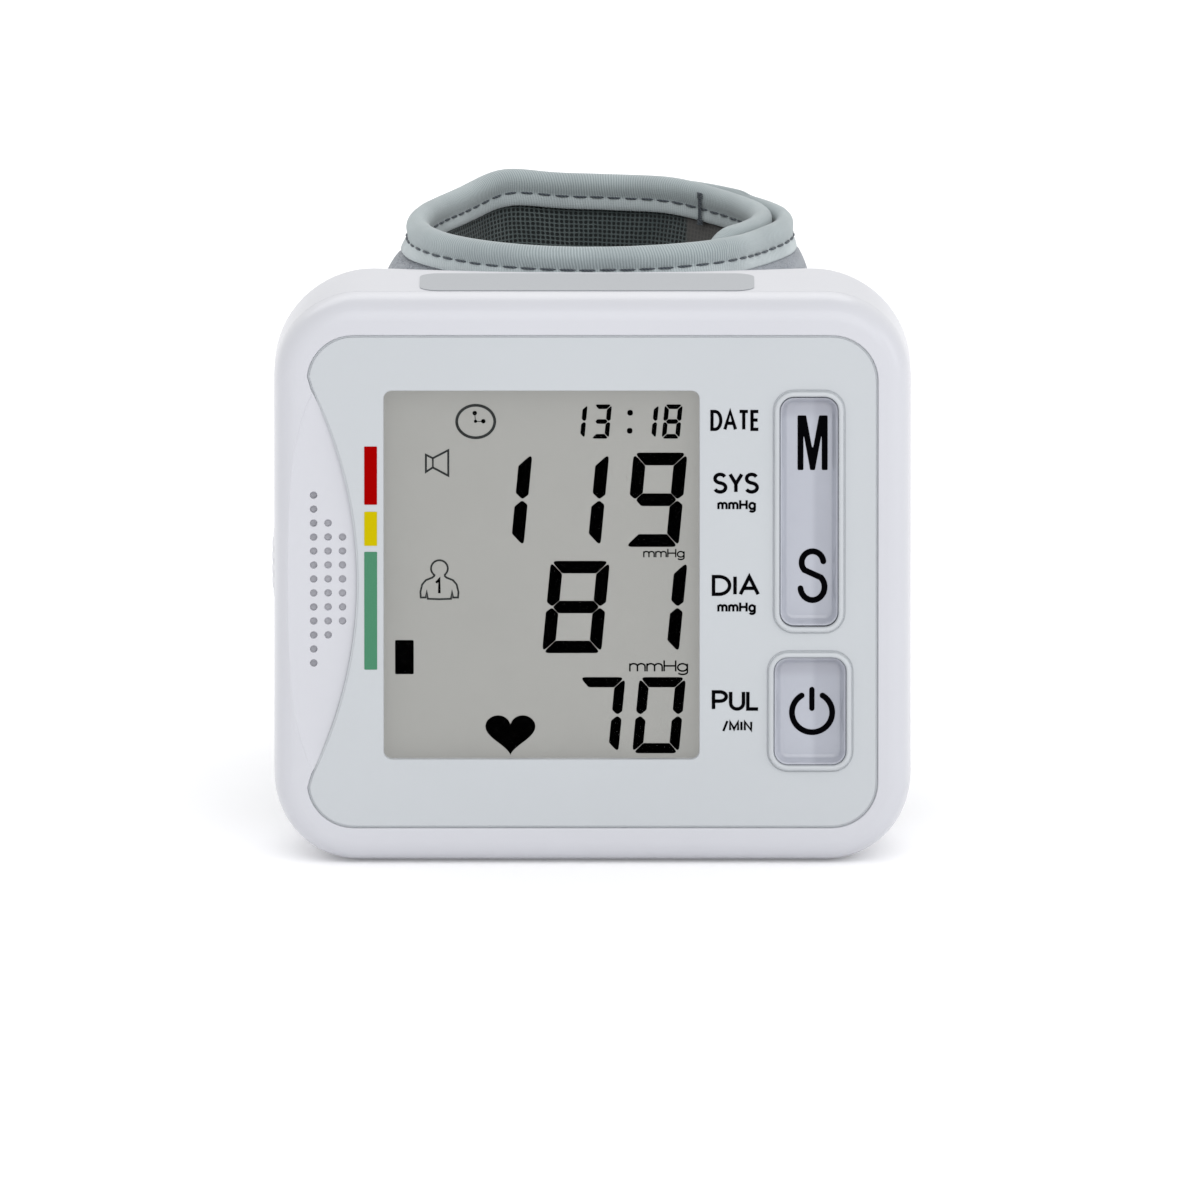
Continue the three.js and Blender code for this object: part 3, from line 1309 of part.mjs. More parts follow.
// Cuff: lining, bladder, springy stiffener and padded cover, bound along both rims
function makeCuff() {
  const passage = rodAlongDepth(nozzleRadius + softGap, nozzleX, manifoldZ, caseDepth - overrun,
    frontOfLoop + caseDepth / 2 - bladderOuter, airSides);
  addPiece('cuff_lining', bandRound(cuffInnerAngle, cuffOuterAngle,
    paddedProfile(liningRimInner, liningRimOuter, liningBodyInner, liningBodyOuter)), meshCloth);
  addPiece('cuff_bladder', bandRound(bladderFromAngle, bladderToAngle,
    plainProfile(bladderInner, bladderOuter, bladderMargin)), darkRubber);
  addPiece('cuff_stiffener', cutBy(bandRound(stiffenerFromAngle, stiffenerToAngle,
    plainProfile(stiffenerInner, stiffenerOuter, stiffenerMargin)), passage), innerPlastic);
  addPiece('cuff_cover', cutBy(bandRound(cuffInnerAngle, cuffOuterAngle,
    paddedProfile(coverRimInner, coverRimOuter, coverBodyInner, coverBodyOuter)), passage), cuffCloth);
  const half = bindingHalfThickness;
  const slot = half - bindingWall;
  const crown = bindingCrown;
  const rimProfile = (heightOf) => (angle) => {
    const lift = tuckAt(angle);
    return [
      [half, bindingHeight], [half, crown], [half - crown, 0], [crown - half, 0], [-half, crown],
      [-half, bindingHeight], [-slot, bindingHeight], [-slot, crown], [slot, crown], [slot, bindingHeight],
    ].map(([offset, height]) => [lift + offset, heightOf(height)]);
  };
  addPiece('cuff_binding_bottom', bandRound(cuffInnerAngle, cuffOuterAngle,
    rimProfile((height) => height)), tapeCloth);
  addPiece('cuff_binding_top', bandRound(cuffInnerAngle, cuffOuterAngle,
    rimProfile((height) => cuffWidth - height)), tapeCloth);
}

// Tail: lies on the outside of the loop, in two lengths that hinge at a fold line
function tailInnerOffset(angle, level) {
  const under = angle - fullTurnAngle;
  const rim = bindingHalfThickness;
  const body = coverRimOuter + (coverBodyOuter - coverRimOuter) * fullnessAt(under);
  const patchRoom = (patchThickness + softGap)
    * easing(angle, patchFromAngle - patchRampAngle, patchFromAngle - tailGapAngle * 2);
  const rootLift = tailRootLift * (1 - easing(angle, cuffOuterAngle, cuffOuterAngle + tailLiftAngle));
  return tuckAt(under) + softGap + rim + Math.max(body - rim, 0) * level + patchRoom + rootLift;
}

function padLevelAt(height) {
  const along = (height - padRampStart) / (padRampEnd - padRampStart);
  if (along <= 0) {
    return 0;
  }
  const next = padRampShares.findIndex(([share]) => share >= along);
  if (next < 1) {
    return 1;
  }
  const [nearAlong, near] = padRampShares[next - 1];
  const [farAlong, far] = padRampShares[next];
  return near + (far - near) * (along - nearAlong) / (farAlong - nearAlong);
}

function tailProfile(angle) {
  const roundOff = (tailEndAngle - angle) / tailEndRound;
  const rounding = roundOff < 1 ? tailEndRound * (1 - Math.sqrt(1 - (1 - roundOff) ** 2)) : 0;
  const trim = tailSideTrim + rounding;
  const kept = 1 - trim / (cuffWidth / 2);
  const ramp = padRampEnd - padRampStart;
  const stations = [0, ...padRampShares.map(([along]) => padRampStart + ramp * along)];
  const heights = stations.map((height) => trim + height * kept);
  const low = heights.map((height) => [tailInnerOffset(angle, padLevelAt(height)), height]);
  const high = [...low].reverse().map(([offset, height]) => [offset, cuffWidth - height]);
  const inner = [...low, ...high];
  const outer = inner.map(([offset, height]) => [offset + tailThickness, height]).reverse();
  return [...inner, ...outer];
}

function makeTail() {
  addPiece('cuff_tail_root', bandRound(cuffOuterAngle + tailGapAngle,
    tailFoldAngle - tailGapAngle / 2, tailProfile), cuffCloth);
  addPiece('cuff_tail_end', bandRound(tailFoldAngle + tailGapAngle / 2,
    tailEndAngle, tailProfile), cuffCloth);
  const patch = (angle) => {
    const low = patchMargin;
    const high = cuffWidth - patchMargin;
    const inner = tailInnerOffset(angle, padRampShares.at(-1)[1]) - patchThickness - softGap;
    return [[inner, low], [inner + patchThickness, low], [inner + patchThickness, high], [inner, high]];
  };
  addPiece('cuff_hook_patch', bandRound(patchFromAngle, patchToAngle, patch), darkRubber);
}

makeFrontShell();
makeRearShell();
makePanel();
makeWindow();
makeDisplay();
makeBoard();
makeScrews();
makeKeys();
makeSwitches();
makeSpeaker();
makeBatteries();
makeDoor();
makePump();
makeValveAndSensor();
makeManifold();
makeTubes();
makeMountPlate();
makeCuff();
makeTail();

export default monitor;
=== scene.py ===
# Wrist blood pressure monitor: a glossy case with a display and dished keys, on a bound wrist cuff.
# Sizes are in millimetres up to the moment a mesh is made. X runs right, Y back to the cuff, Z up.

import bisect
import json
import math

import bpy
import bmesh
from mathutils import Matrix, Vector, noise

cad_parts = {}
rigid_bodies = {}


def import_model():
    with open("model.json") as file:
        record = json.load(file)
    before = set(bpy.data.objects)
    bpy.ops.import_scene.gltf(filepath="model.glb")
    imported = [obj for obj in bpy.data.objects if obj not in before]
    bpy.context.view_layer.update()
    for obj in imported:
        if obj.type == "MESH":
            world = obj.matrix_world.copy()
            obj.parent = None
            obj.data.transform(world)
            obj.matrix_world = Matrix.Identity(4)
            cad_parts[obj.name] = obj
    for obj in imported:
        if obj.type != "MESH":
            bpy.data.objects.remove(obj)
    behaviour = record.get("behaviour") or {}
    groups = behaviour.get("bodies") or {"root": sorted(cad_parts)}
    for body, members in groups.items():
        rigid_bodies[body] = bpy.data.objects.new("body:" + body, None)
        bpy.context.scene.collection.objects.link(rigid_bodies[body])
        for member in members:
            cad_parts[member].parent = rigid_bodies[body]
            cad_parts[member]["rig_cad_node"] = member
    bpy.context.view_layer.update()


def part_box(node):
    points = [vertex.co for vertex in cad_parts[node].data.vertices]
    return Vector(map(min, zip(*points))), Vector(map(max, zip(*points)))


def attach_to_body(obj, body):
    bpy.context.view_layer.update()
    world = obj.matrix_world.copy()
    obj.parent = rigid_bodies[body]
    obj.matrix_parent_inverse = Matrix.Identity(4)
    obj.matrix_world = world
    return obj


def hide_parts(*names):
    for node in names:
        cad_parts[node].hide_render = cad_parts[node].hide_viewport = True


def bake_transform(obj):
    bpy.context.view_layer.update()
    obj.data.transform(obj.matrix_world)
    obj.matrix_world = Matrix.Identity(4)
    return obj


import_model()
mm = 0.001
print("frame loaded")


# Shader maths in plain Python

class Signal:
    # one socket; each sign that it is used with adds a Math node
    def __init__(self, finish, socket):
        self.finish = finish
        self.socket = socket

    def maths(self, operation, first, second=0.0):
        return self.finish.add("ShaderNodeMath", {"operation": operation}, {0: first, 1: second})

    def __add__(self, other):
        return self.maths("ADD", self, other)

    def __sub__(self, other):
        return self.maths("SUBTRACT", self, other)

    def __rsub__(self, other):
        return self.maths("SUBTRACT", other, self)

    def __mul__(self, other):
        return self.maths("MULTIPLY", self, other)

    def __pow__(self, other):
        return self.maths("POWER", self, other)

    __radd__, __rmul__ = __add__, __mul__

    def sine(self):
        return self.maths("SINE", self)

    def size(self):
        return self.maths("ABSOLUTE", self)

    def between(self, low, high):
        # 0 below low, 1 above high, smooth in between
        values = {"Value": self, "From Min": low, "From Max": high, "To Min": 0.0, "To Max": 1.0}
        return self.finish.add("ShaderNodeMapRange", {"interpolation_type": "SMOOTHSTEP"}, values)


shaderSockets = {
    "colour": "Base Color", "roughness": "Roughness", "metallic": "Metallic", "normal": "Normal",
    "alpha": "Alpha", "specular": "Specular IOR Level", "coat": "Coat Weight",
    "coatRoughness": "Coat Roughness", "sheen": "Sheen Weight", "sheenRoughness": "Sheen Roughness",
    "glow": "Emission Color", "glowStrength": "Emission Strength",
}


class Finish:
    # a material with one Principled shader and the nodes that drive it
    def __init__(self, name, **constants):
        self.material = bpy.data.materials.new(name)
        self.material.use_nodes = True
        self.tree = self.material.node_tree
        self.set(**constants)

    def fill(self, node, values):
        # links a signal to its socket, and writes a number or a colour on the socket itself
        for key, value in values.items():
            if isinstance(value, Signal):
                self.tree.links.new(value.socket, node.inputs[key])
            else:
                node.inputs[key].default_value = value

    def set(self, **values):
        self.fill(self.tree.nodes["Principled BSDF"], {shaderSockets[key]: values[key] for key in values})
        return self.material

    def add(self, kind, settings=None, values=None, output=0):
        node = self.tree.nodes.new(kind)
        for key, value in (settings or {}).items():
            setattr(node, key, value)
        self.fill(node, values or {})
        return Signal(self, node.outputs[output])

    def place(self, scale=1.0):
        # the point on the piece, in millimetres times the scale
        here = self.add("ShaderNodeTexCoord", output=3)
        return self.add("ShaderNodeVectorMath", {"operation": "SCALE"}, {0: here, "Scale": 1000.0 * scale})

    def sheetPlace(self):
        # along and across a cloth piece, in millimetres
        return self.add("ShaderNodeTexCoord", output=2)

    def part(self, vector, axis):
        return self.add("ShaderNodeSeparateXYZ", values={0: vector}, output="XYZ".index(axis))

    def noise(self, place, scale, detail=2.0, roughness=0.5, output=0):
        values = {"Vector": place, "Scale": scale, "Detail": detail, "Roughness": roughness}
        return self.add("ShaderNodeTexNoise", values=values, output=output)

    def blend(self, share, first, second):
        return self.add("ShaderNodeMix", {"data_type": "RGBA"}, {0: share, 6: first, 7: second}, output=2)

    def bump(self, height, distance, strength, under=None):
        values = {"Height": height, "Distance": distance * mm, "Strength": strength}
        if under is not None:
            values["Normal"] = under
        return self.add("ShaderNodeBump", values=values)


def tone(red, green, blue):
    # a colour as it shows on screen, 0 to 255
    linear = [((c / 255 + 0.055) / 1.055) ** 2.4 if c > 10 else c / 255 / 12.92 for c in (red, green, blue)]
    return (*linear, 1.0)


def shifted(colour, factor, lift=0.0):
    return [min(c * factor + lift, 1.0) for c in colour[:3]] + [1.0]


# Finishes

def mouldedPlastic(name, colour, roughness, coat=0.0, sink=0.012):
    # slow waves from the mould under a fine grain, with a faint cloud in colour and gloss
    finish = Finish(name, coat=coat, coatRoughness=0.04, specular=0.5)
    place = finish.place()
    cloud = finish.noise(place, 0.045, 3.0)
    fine = finish.noise(place, 2.4)
    waves = finish.bump(finish.noise(place, 0.16), sink, 0.6)
    return finish.set(
        colour=finish.blend(cloud.between(0.35, 0.65) * 0.5, colour, shifted(colour, 0.97)),
        roughness=roughness + (cloud - 0.5) * 0.06 + (fine - 0.5) * 0.02,
        normal=finish.bump(fine, 0.002, 0.1, waves))


def printedInk(name, colour, roughness=0.4, specular=0.08):
    finish = Finish(name, specular=specular)
    fine = finish.noise(finish.place(), 6.0)
    return finish.set(colour=finish.blend(fine, colour, shifted(colour, 1.1, 0.0005)),
                      roughness=roughness + (fine - 0.5) * 0.1)


def metalSkin(name, colour, roughness, brushed):
    finish = Finish(name, metallic=1.0)
    place = finish.place()
    fine = finish.noise(place, 3.0, 3.0)
    lines = finish.noise(finish.part(place, "Z") * 9.0, 1.0)
    return finish.set(colour=finish.blend(fine, colour, shifted(colour, 0.9)),
                      roughness=roughness + (fine - 0.5) * 0.12, normal=finish.bump(lines, 0.004, brushed))


def keyPlastic():
    # smoky translucent plastic, with a painted reflection that makes it lighter to the left of the middle, and
    # painted shade darker under each key's upper wall
    # light and dark are the two sides of a painted reflection; shade is the painted shade under the upper walls
    look = {"light": tone(166, 169, 179), "dark": tone(150, 153, 163), "shade": tone(138, 139, 149),
            "split": 27.8, "width": 0.5, "rockerTop": 58.7, "powerTop": 25.7, "powerAbove": (27.5, 28.5),
            "shadeFrom": 2.2, "shadeTo": 0.8}
    finish = Finish("keyPlastic", specular=0.5, coat=0.5, coatRoughness=0.05)
    place = finish.place()
    # painted reflection: lighter to the left of the split, darker to its right
    half = (finish.part(place, "X") - look["split"]).between(-look["width"], look["width"])
    cloud = finish.noise(place, 0.22)
    up = finish.part(place, "Z")
    # painted shade: darker in a band just under the upper wall of each key
    rocker, power = [up.between(look[top] - look["shadeFrom"], look[top] - look["shadeTo"])
                     for top in ("rockerTop", "powerTop")]
    power = power * (1.0 - up.between(*look["powerAbove"]))
    smokeAndReflection = finish.blend(half * 0.75 + (cloud - 0.5) * 0.4, look["light"], look["dark"])
    return finish.set(colour=finish.blend((rocker + power) * 0.35, smokeAndReflection, look["shade"]),
                      roughness=0.16 + (cloud - 0.5) * 0.05,
                      normal=finish.bump(finish.noise(place, 0.5), 0.02, 0.5))


def clearPlastic():
    finish = Finish("clearPlastic", colour=tone(40, 42, 42), specular=0.4)
    smear = finish.noise(finish.place(), 0.12, 3.0)
    return finish.set(roughness=0.04 + smear.between(0.4, 0.7) * 0.05,
                      alpha=0.006 + smear.between(0.45, 0.75) * 0.006)


def displayFace():
    # grey reflective liquid crystal cell, with the fine grain of its reflector, and a painted glow that lifts the
    # shade in the window's recess
    look = {"light": tone(99, 99, 97), "dark": tone(96, 96, 94), "grain": tone(88, 89, 87),
            "glow": tone(168, 168, 165), "glowStrength": 0.66}
    # painted light: the glow fills in shade on a cell that is no lamp
    finish = Finish("displayFace", specular=0.06, glow=look["glow"], glowStrength=look["glowStrength"])
    place = finish.place()
    grain = finish.noise(place, 5.0)
    base = finish.blend(finish.noise(place, 0.03).between(0.3, 0.7), look["light"], look["dark"])
    return finish.set(colour=finish.blend(grain * 0.25, base, look["grain"]),
                      roughness=0.34 + (grain - 0.5) * 0.08, normal=finish.bump(grain, 0.003, 0.4))


def ribbedTape():
    # woven binding: fine ribs across the tape, soft patches of painted crease shade along it, paler along both
    # its edges
    look = {"ribPitch": 0.36, "weftPitch": 0.22, "edges": ((0.4, 0.6, 1.9, 2.2), (9.4, 9.7, 11.2, 11.5)),
            "groove": tone(142, 152, 154), "rib": tone(176, 186, 188), "edge": tone(206, 214, 216),
            "creaseShade": tone(138, 146, 149), "fibre": tone(124, 133, 137)}
    finish = Finish("ribbedTape", specular=0.2, sheen=0.25, sheenRoughness=0.5)
    sheet, place = finish.sheetPlace(), finish.place()
    along, across = finish.part(sheet, "X"), finish.part(sheet, "Y")
    drift = finish.noise(place, 0.5)
    slanted = along + (drift - 0.5) * 0.35 + across * 0.12
    ribs = (slanted * (2 * math.pi / look["ribPitch"])).sine() * 0.5 + 0.5
    weft = (across * (2 * math.pi / look["weftPitch"])).sine() * 0.5 + 0.5
    fibres = finish.noise(place, 7.0)
    first, last = [across.between(a, b) * (1.0 - across.between(c, d)) for a, b, c, d in look["edges"]]
    shade = finish.blend(ribs, look["groove"], look["rib"])
    shade = finish.blend((first + last) * 0.45, shade, look["edge"])
    # painted shade of creases, in slow patches along the tape
    shade = finish.blend(finish.noise(place, 0.11).between(0.35, 0.7) * 0.35, shade, look["creaseShade"])
    return finish.set(colour=finish.blend(fibres * 0.25, shade, look["fibre"]),
                      roughness=0.78 + (fibres - 0.5) * 0.2,
                      normal=finish.bump(ribs + weft * 0.22 + fibres * 0.25, 0.05, 0.8))


def loopCloth():
    # brushed nylon that hooks hold on to: short tangled loops over a dense ground
    look = {"light": tone(134, 141, 150), "dark": tone(92, 98, 108)}
    finish = Finish("loopCloth", specular=0.15, sheen=0.45, sheenRoughness=0.6)
    place = finish.place()
    bent = finish.add("ShaderNodeVectorMath", {"operation": "ADD"},
                      {0: place, 1: finish.noise(place, 1.4, output=1)})
    tangle = finish.add("ShaderNodeTexVoronoi", {"feature": "DISTANCE_TO_EDGE"}, {"Vector": bent, "Scale": 2.1})
    fibres = finish.noise(place, 5.5, 4.0, 0.7)
    lay = finish.noise(place, 0.09, 3.0)
    loops = tangle.between(0.0, 0.32)
    shade = finish.blend(loops * 0.7 + fibres * 0.4, look["light"], look["dark"])
    return finish.set(colour=finish.blend(lay.between(0.35, 0.7) * 0.35, shade, look["light"]),
                      roughness=0.86 + (fibres - 0.5) * 0.15,
                      normal=finish.bump((1.0 - loops) * 0.7 + fibres * 0.6, 0.16, 0.75))


def knitMesh():
    # charcoal warp knit with staggered open holes, and a plainer cloth to the right of them
    look = {"pitchAlong": 1.3, "pitchAcross": 1.08, "plainFrom": 11.9, "plain": tone(92, 90, 88),
            "dark": tone(70, 80, 81), "light": tone(96, 106, 106), "hole": tone(20, 25, 25),
            "fibre": tone(46, 54, 55)}
    finish = Finish("knitMesh", specular=0.2, sheen=0.2, sheenRoughness=0.5)
    sheet, place = finish.sheetPlace(), finish.place()
    wander = finish.noise(place, 0.8) - 0.5
    along = (finish.part(sheet, "X") + wander * 0.25) * (2 * math.pi / look["pitchAlong"])
    across = (finish.part(sheet, "Y") + wander * 0.2) * (2 * math.pi / look["pitchAcross"])
    plain = (finish.part(place, "X") - look["plainFrom"]).between(-0.3, 0.3)
    holes = ((along.sine() * across.sine()).size() ** 0.8).between(0.18, 0.75) * (1.0 - plain * 0.8)
    fibres = finish.noise(place, 6.5, 3.0)
    drift = finish.noise(place, 0.09).between(0.35, 0.65)
    thread = finish.blend(drift, look["dark"], look["light"])
    shade = finish.blend(holes, finish.blend(plain, thread, look["plain"]), look["hole"])
    return finish.set(colour=finish.blend(fibres * 0.35, shade, look["fibre"]),
                      roughness=0.8 + (fibres - 0.5) * 0.2,
                      normal=finish.bump((1.0 - holes) + fibres * 0.3, 0.14, 0.85))


def hookTape():
    # rows of stiff little hooks on a woven ground
    look = {"rowPitch": 1.5, "stemPitch": 1.1, "ground": tone(70, 76, 82), "hooks": tone(118, 125, 130)}
    finish = Finish("hookTape", specular=0.4)
    sheet = finish.sheetPlace()
    rows = (finish.part(sheet, "X") * (2 * math.pi / look["rowPitch"])).sine()
    stems = (finish.part(sheet, "Y") * (2 * math.pi / look["stemPitch"])).sine()
    hooks = (rows * stems).between(0.15, 0.6)
    fibres = finish.noise(finish.place(), 4.0, 3.0)
    ground = hooks + fibres * 0.2
    return finish.set(colour=finish.blend(ground, look["ground"], look["hooks"]),
                      roughness=0.5 + fibres * 0.2, normal=finish.bump(ground, 0.3, 0.9))


def sewingThread():
    look = {"twist": 14.0, "dark": tone(58, 64, 70), "light": tone(84, 91, 97)}
    finish = Finish("sewingThread", specular=0.25, sheen=0.2, sheenRoughness=0.4)
    place = finish.place()
    twist = (finish.part(place, "X") * look["twist"] + finish.part(place, "Z") * look["twist"]).sine()
    return finish.set(colour=finish.blend(twist * 0.5 + 0.5, look["dark"], look["light"]),
                      roughness=0.7 + twist * 0.05, normal=finish.bump(twist, 0.03, 0.6))


def softRubber(name, colour, roughness):
    finish = Finish(name, specular=0.4)
    place = finish.place()
    dust = finish.noise(place, 0.6, 4.0)
    return finish.set(colour=finish.blend(dust * 0.3, colour, shifted(colour, 1.5, 0.01)),
                      roughness=roughness + (dust - 0.5) * 0.15,
                      normal=finish.bump(finish.noise(place, 3.0), 0.01, 0.4))


def dustCloth():
    # pale felt behind the speaker holes
    look = {"light": tone(190, 190, 196), "dark": tone(176, 176, 182)}
    finish = Finish("dustCloth", specular=0.0)
    fibres = finish.noise(finish.place(), 4.0, 3.0)
    return finish.set(colour=finish.blend(fibres * 0.4, look["light"], look["dark"]),
                      roughness=0.9 + (fibres - 0.5) * 0.1, normal=finish.bump(fibres, 0.02, 0.3))


def circuitBoard():
    look = {"board": tone(24, 96, 62), "patch": tone(28, 104, 66), "track": tone(60, 142, 92)}
    finish = Finish("circuitBoard", specular=0.5)
    place = finish.place()
    tracks = finish.add("ShaderNodeTexBrick", {"offset": 0.5}, {
        "Vector": place, "Scale": 0.4, "Mortar Size": 0.05, "Color1": look["board"],
        "Color2": look["patch"], "Mortar": look["track"]})
    return finish.set(colour=tracks, roughness=0.35 + (finish.noise(place, 1.0) - 0.5) * 0.1,
                      normal=finish.bump(finish.noise(place, 2.0), 0.01, 0.3))


def paleFloor():
    look = {"dark": tone(247, 247, 248), "light": tone(250, 250, 251), "glowStrength": 0.1}
    finish = Finish("paleFloor", specular=0.2, glow=tone(255, 255, 255), glowStrength=look["glowStrength"])
    cloud = finish.noise(finish.place(0.01), 1.0)
    return finish.set(colour=finish.blend(cloud, look["dark"], look["light"]),
                      roughness=0.7 + (cloud - 0.5) * 0.05)


finishes = {
    "white": mouldedPlastic("glossyWhite", tone(191, 192, 198), 0.3, coat=0.08),
    "panel": mouldedPlastic("satinPanel", tone(180, 184, 188), 0.32, coat=0.06, sink=0.006),
    "key": keyPlastic(),
    "clear": clearPlastic(),
    "display": displayFace(),
    "inner": mouldedPlastic("innerPlastic", tone(226, 226, 220), 0.45),
    "black": mouldedPlastic("blackPlastic", tone(34, 34, 38), 0.42),
    "board": circuitBoard(),
    "steel": metalSkin("plainSteel", tone(196, 200, 204), 0.28, 0.4),
    "jacket": metalSkin("batteryJacket", tone(206, 206, 208), 0.25, 0.1),
    "darkRubber": softRubber("darkRubber", tone(46, 46, 50), 0.7),
    "clearRubber": softRubber("clearRubber", tone(214, 218, 218), 0.4),
    "tape": ribbedTape(),
    "loop": loopCloth(),
    "mesh": knitMesh(),
    "hook": hookTape(),
    "thread": sewingThread(),
    "ink": printedInk("blackInk", tone(4, 4, 6), 0.5, 0.0),
    "segment": printedInk("displaySegment", tone(0, 0, 0), 0.5, 0.0),
    "icon": printedInk("displayIcon", tone(46, 48, 48), 0.3, 0.03),
    "red": printedInk("redInk", tone(142, 0, 0), 0.5, 0.0),
    "yellow": printedInk("yellowInk", tone(180, 164, 4), 0.4, 0.0),
    "green": printedInk("greenInk", tone(66, 121, 93)),
    "sticker": printedInk("stickerFilm", tone(143, 147, 152), 0.3, 0.3),
    "felt": dustCloth(),
    "floor": paleFloor(),
}
print("finishes made")


# Meshes

class Shape:
    # points in millimetres, faces, and for each face its corners' places on the cloth
    def __init__(self):
        self.points, self.faces, self.corners = [], [], []

    def add(self, points, faces, corners=()):
        base = len(self.points)
        self.points += [tuple(point) for point in points]
        self.faces += [[base + k for k in face] for face in faces]
        self.corners += [*corners, *([(0.0, 0.0)] * len(face) for face in faces[len(corners):])]

    def skin(self, rings, caps=True, along=None, across=None):
        # quads between rings of equally many points; along and across give the cloth's own places
        count = len(rings[0])
        faces, corners = [], []
        for row in range(len(rings) - 1):
            here, there = row * count, (row + 1) * count
            for i in range(count):
                j = (i + 1) % count
                faces.append([here + i, here + j, there + j, there + i])
                if along:
                    (u, v), (p, q) = along[row:row + 2], across[i:i + 2]
                    corners.append([(u, p), (u, q), (v, q), (v, p)])
        if caps:
            last = (len(rings) - 1) * count
            faces += [list(range(count - 1, -1, -1)), [last + i for i in range(count)]]
        self.add([point for ring in rings for point in ring], faces, corners)
        return self

    def make(self, name, finish=None, sharp=35):
        mesh = bpy.data.meshes.new(name)
        mesh.from_pydata([[c * mm for c in point] for point in self.points], [], self.faces)
        layer = mesh.uv_layers.new(name="cloth")
        layer.data.foreach_set("uv", [c for face in self.corners for corner in face for c in corner])
        work = bmesh.new()
        work.from_mesh(mesh)
        bmesh.ops.recalc_face_normals(work, faces=work.faces)
        work.to_mesh(mesh)
        work.free()
        if finish:
            mesh.materials.append(finishes[finish])
        piece = bpy.data.objects.new(name, mesh)
        bpy.context.collection.objects.link(piece)
        soften(piece, sharp)
        return piece


def soften(piece, sharp=35):
    piece.data.shade_smooth()
    piece.data.set_sharp_from_angle(angle=math.radians(sharp))


def settle(piece):
    # applies every modifier
    bpy.context.view_layer.update()
    evaluated = piece.evaluated_get(bpy.context.evaluated_depsgraph_get())
    mesh = bpy.data.meshes.new_from_object(evaluated)
    old = piece.data
    piece.modifiers.clear()
    piece.data = mesh
    mesh.name = piece.name
    bpy.data.meshes.remove(old)


def carve(piece, tools, how="DIFFERENCE"):
    for tool in tools:
        step = piece.modifiers.new("carve", "BOOLEAN")
        step.operation = how
        step.solver = "MANIFOLD"
        step.object = tool
    settle(piece)
    for tool in tools:
        bpy.data.objects.remove(tool)
    return piece


def dress(piece, finish, sharp=28):
    # one finish all over, and flat faces that stay flat beside small rounds
    piece.data.materials.clear()
    piece.data.materials.append(finishes[finish])
    soften(piece, sharp)
    step = piece.modifiers.new("even", "WEIGHTED_NORMAL")
    step.keep_sharp = True
    step.weight = 60
    settle(piece)


def attach(piece, body, slot=None, *nodes):
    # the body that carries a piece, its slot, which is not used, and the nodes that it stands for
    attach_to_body(piece, body)
    if nodes:
        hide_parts(*nodes)
    return piece


def clamp(value):
    return min(max(value, 0.0), 1.0)


def easing(value, start, end):
    share = clamp((value - start) / (end - start))
    return share * share * (3 - 2 * share)


def spread(start, end, step):
    count = max(int(math.ceil((end - start) / step)), 1)
    return [start + (end - start) * i / count for i in range(count + 1)]


def runsAlong(points):
    # the way along the points so far, at each of them
    runs = [0.0]
    for a, b in zip(points, points[1:]):
        runs.append(runs[-1] + math.hypot(b[0] - a[0], b[1] - a[1]))
    return runs


def arcPoints(x, y, radiusX, radiusY, start, end, steps=12):
    turns = [math.radians(start + (end - start) * i / steps) for i in range(steps + 1)]
    return [(x + radiusX * math.cos(turn), y + radiusY * math.sin(turn)) for turn in turns]


def roundRect(centreX, centreZ, width, height, radius, steps=8):
    points = []
    for cornerX, cornerZ, start in ((1, -1, -90), (1, 1, 0), (-1, 1, 90), (-1, -1, 180)):
        x = centreX + cornerX * (width / 2 - radius)
        z = centreZ + cornerZ * (height / 2 - radius)
        points += arcPoints(x, z, radius, radius, start, start + 90, steps)
    return points


def rounded(outline, radius):
    # a flat outline with its corners eased, more where they are sharp
    points = []
    for i, corner in enumerate(outline):
        here = Vector(corner)
        before, after = Vector(outline[i - 1]) - here, Vector(outline[(i + 1) % len(outline)]) - here
        half = max(before.angle(after) / 2, 0.2)
        reach = min(radius / math.tan(half), before.length * 0.45, after.length * 0.45)
        first, last = here + before.normalized() * reach, here + after.normalized() * reach
        for k in range(5):
            share = k / 4
            points.append(tuple(first * (1 - share) ** 2 + here * 2 * share * (1 - share) + last * share ** 2))
    return points


def circle(x, z, radius, sides):
    turns = [2 * math.pi * i / sides for i in range(sides)]
    return [(x + radius * math.cos(turn), z + radius * math.sin(turn)) for turn in turns]


def raised(outline, depth):
    # an outline on the front, set at a depth behind the front face
    return [(x, depth - halfDepth, z) for x, z in outline]


def stacked(outlineAt, levels):
    # rings of one outline that widens and narrows: levels are (depth, grow)
    return [raised(outlineAt(grow), depth) for depth, grow in levels]


def flaredTool(outlineAt, levels):
    return Shape().skin(stacked(outlineAt, levels)).make("tool")


def boxTool(low, high):
    (x0, y0, z0), (x1, y1, z1) = low, high
    ring = [(x0, y0), (x1, y0), (x1, y1), (x0, y1)]
    return Shape().skin([[(x, y, z) for x, y in ring] for z in (z0, z1)]).make("tool")


def rodTool(x, z, radius, fromDepth, toDepth):
    return flaredTool(lambda grow: circle(x, z, radius, 24), ((fromDepth, 0.0), (toDepth, 0.0)))


# Case

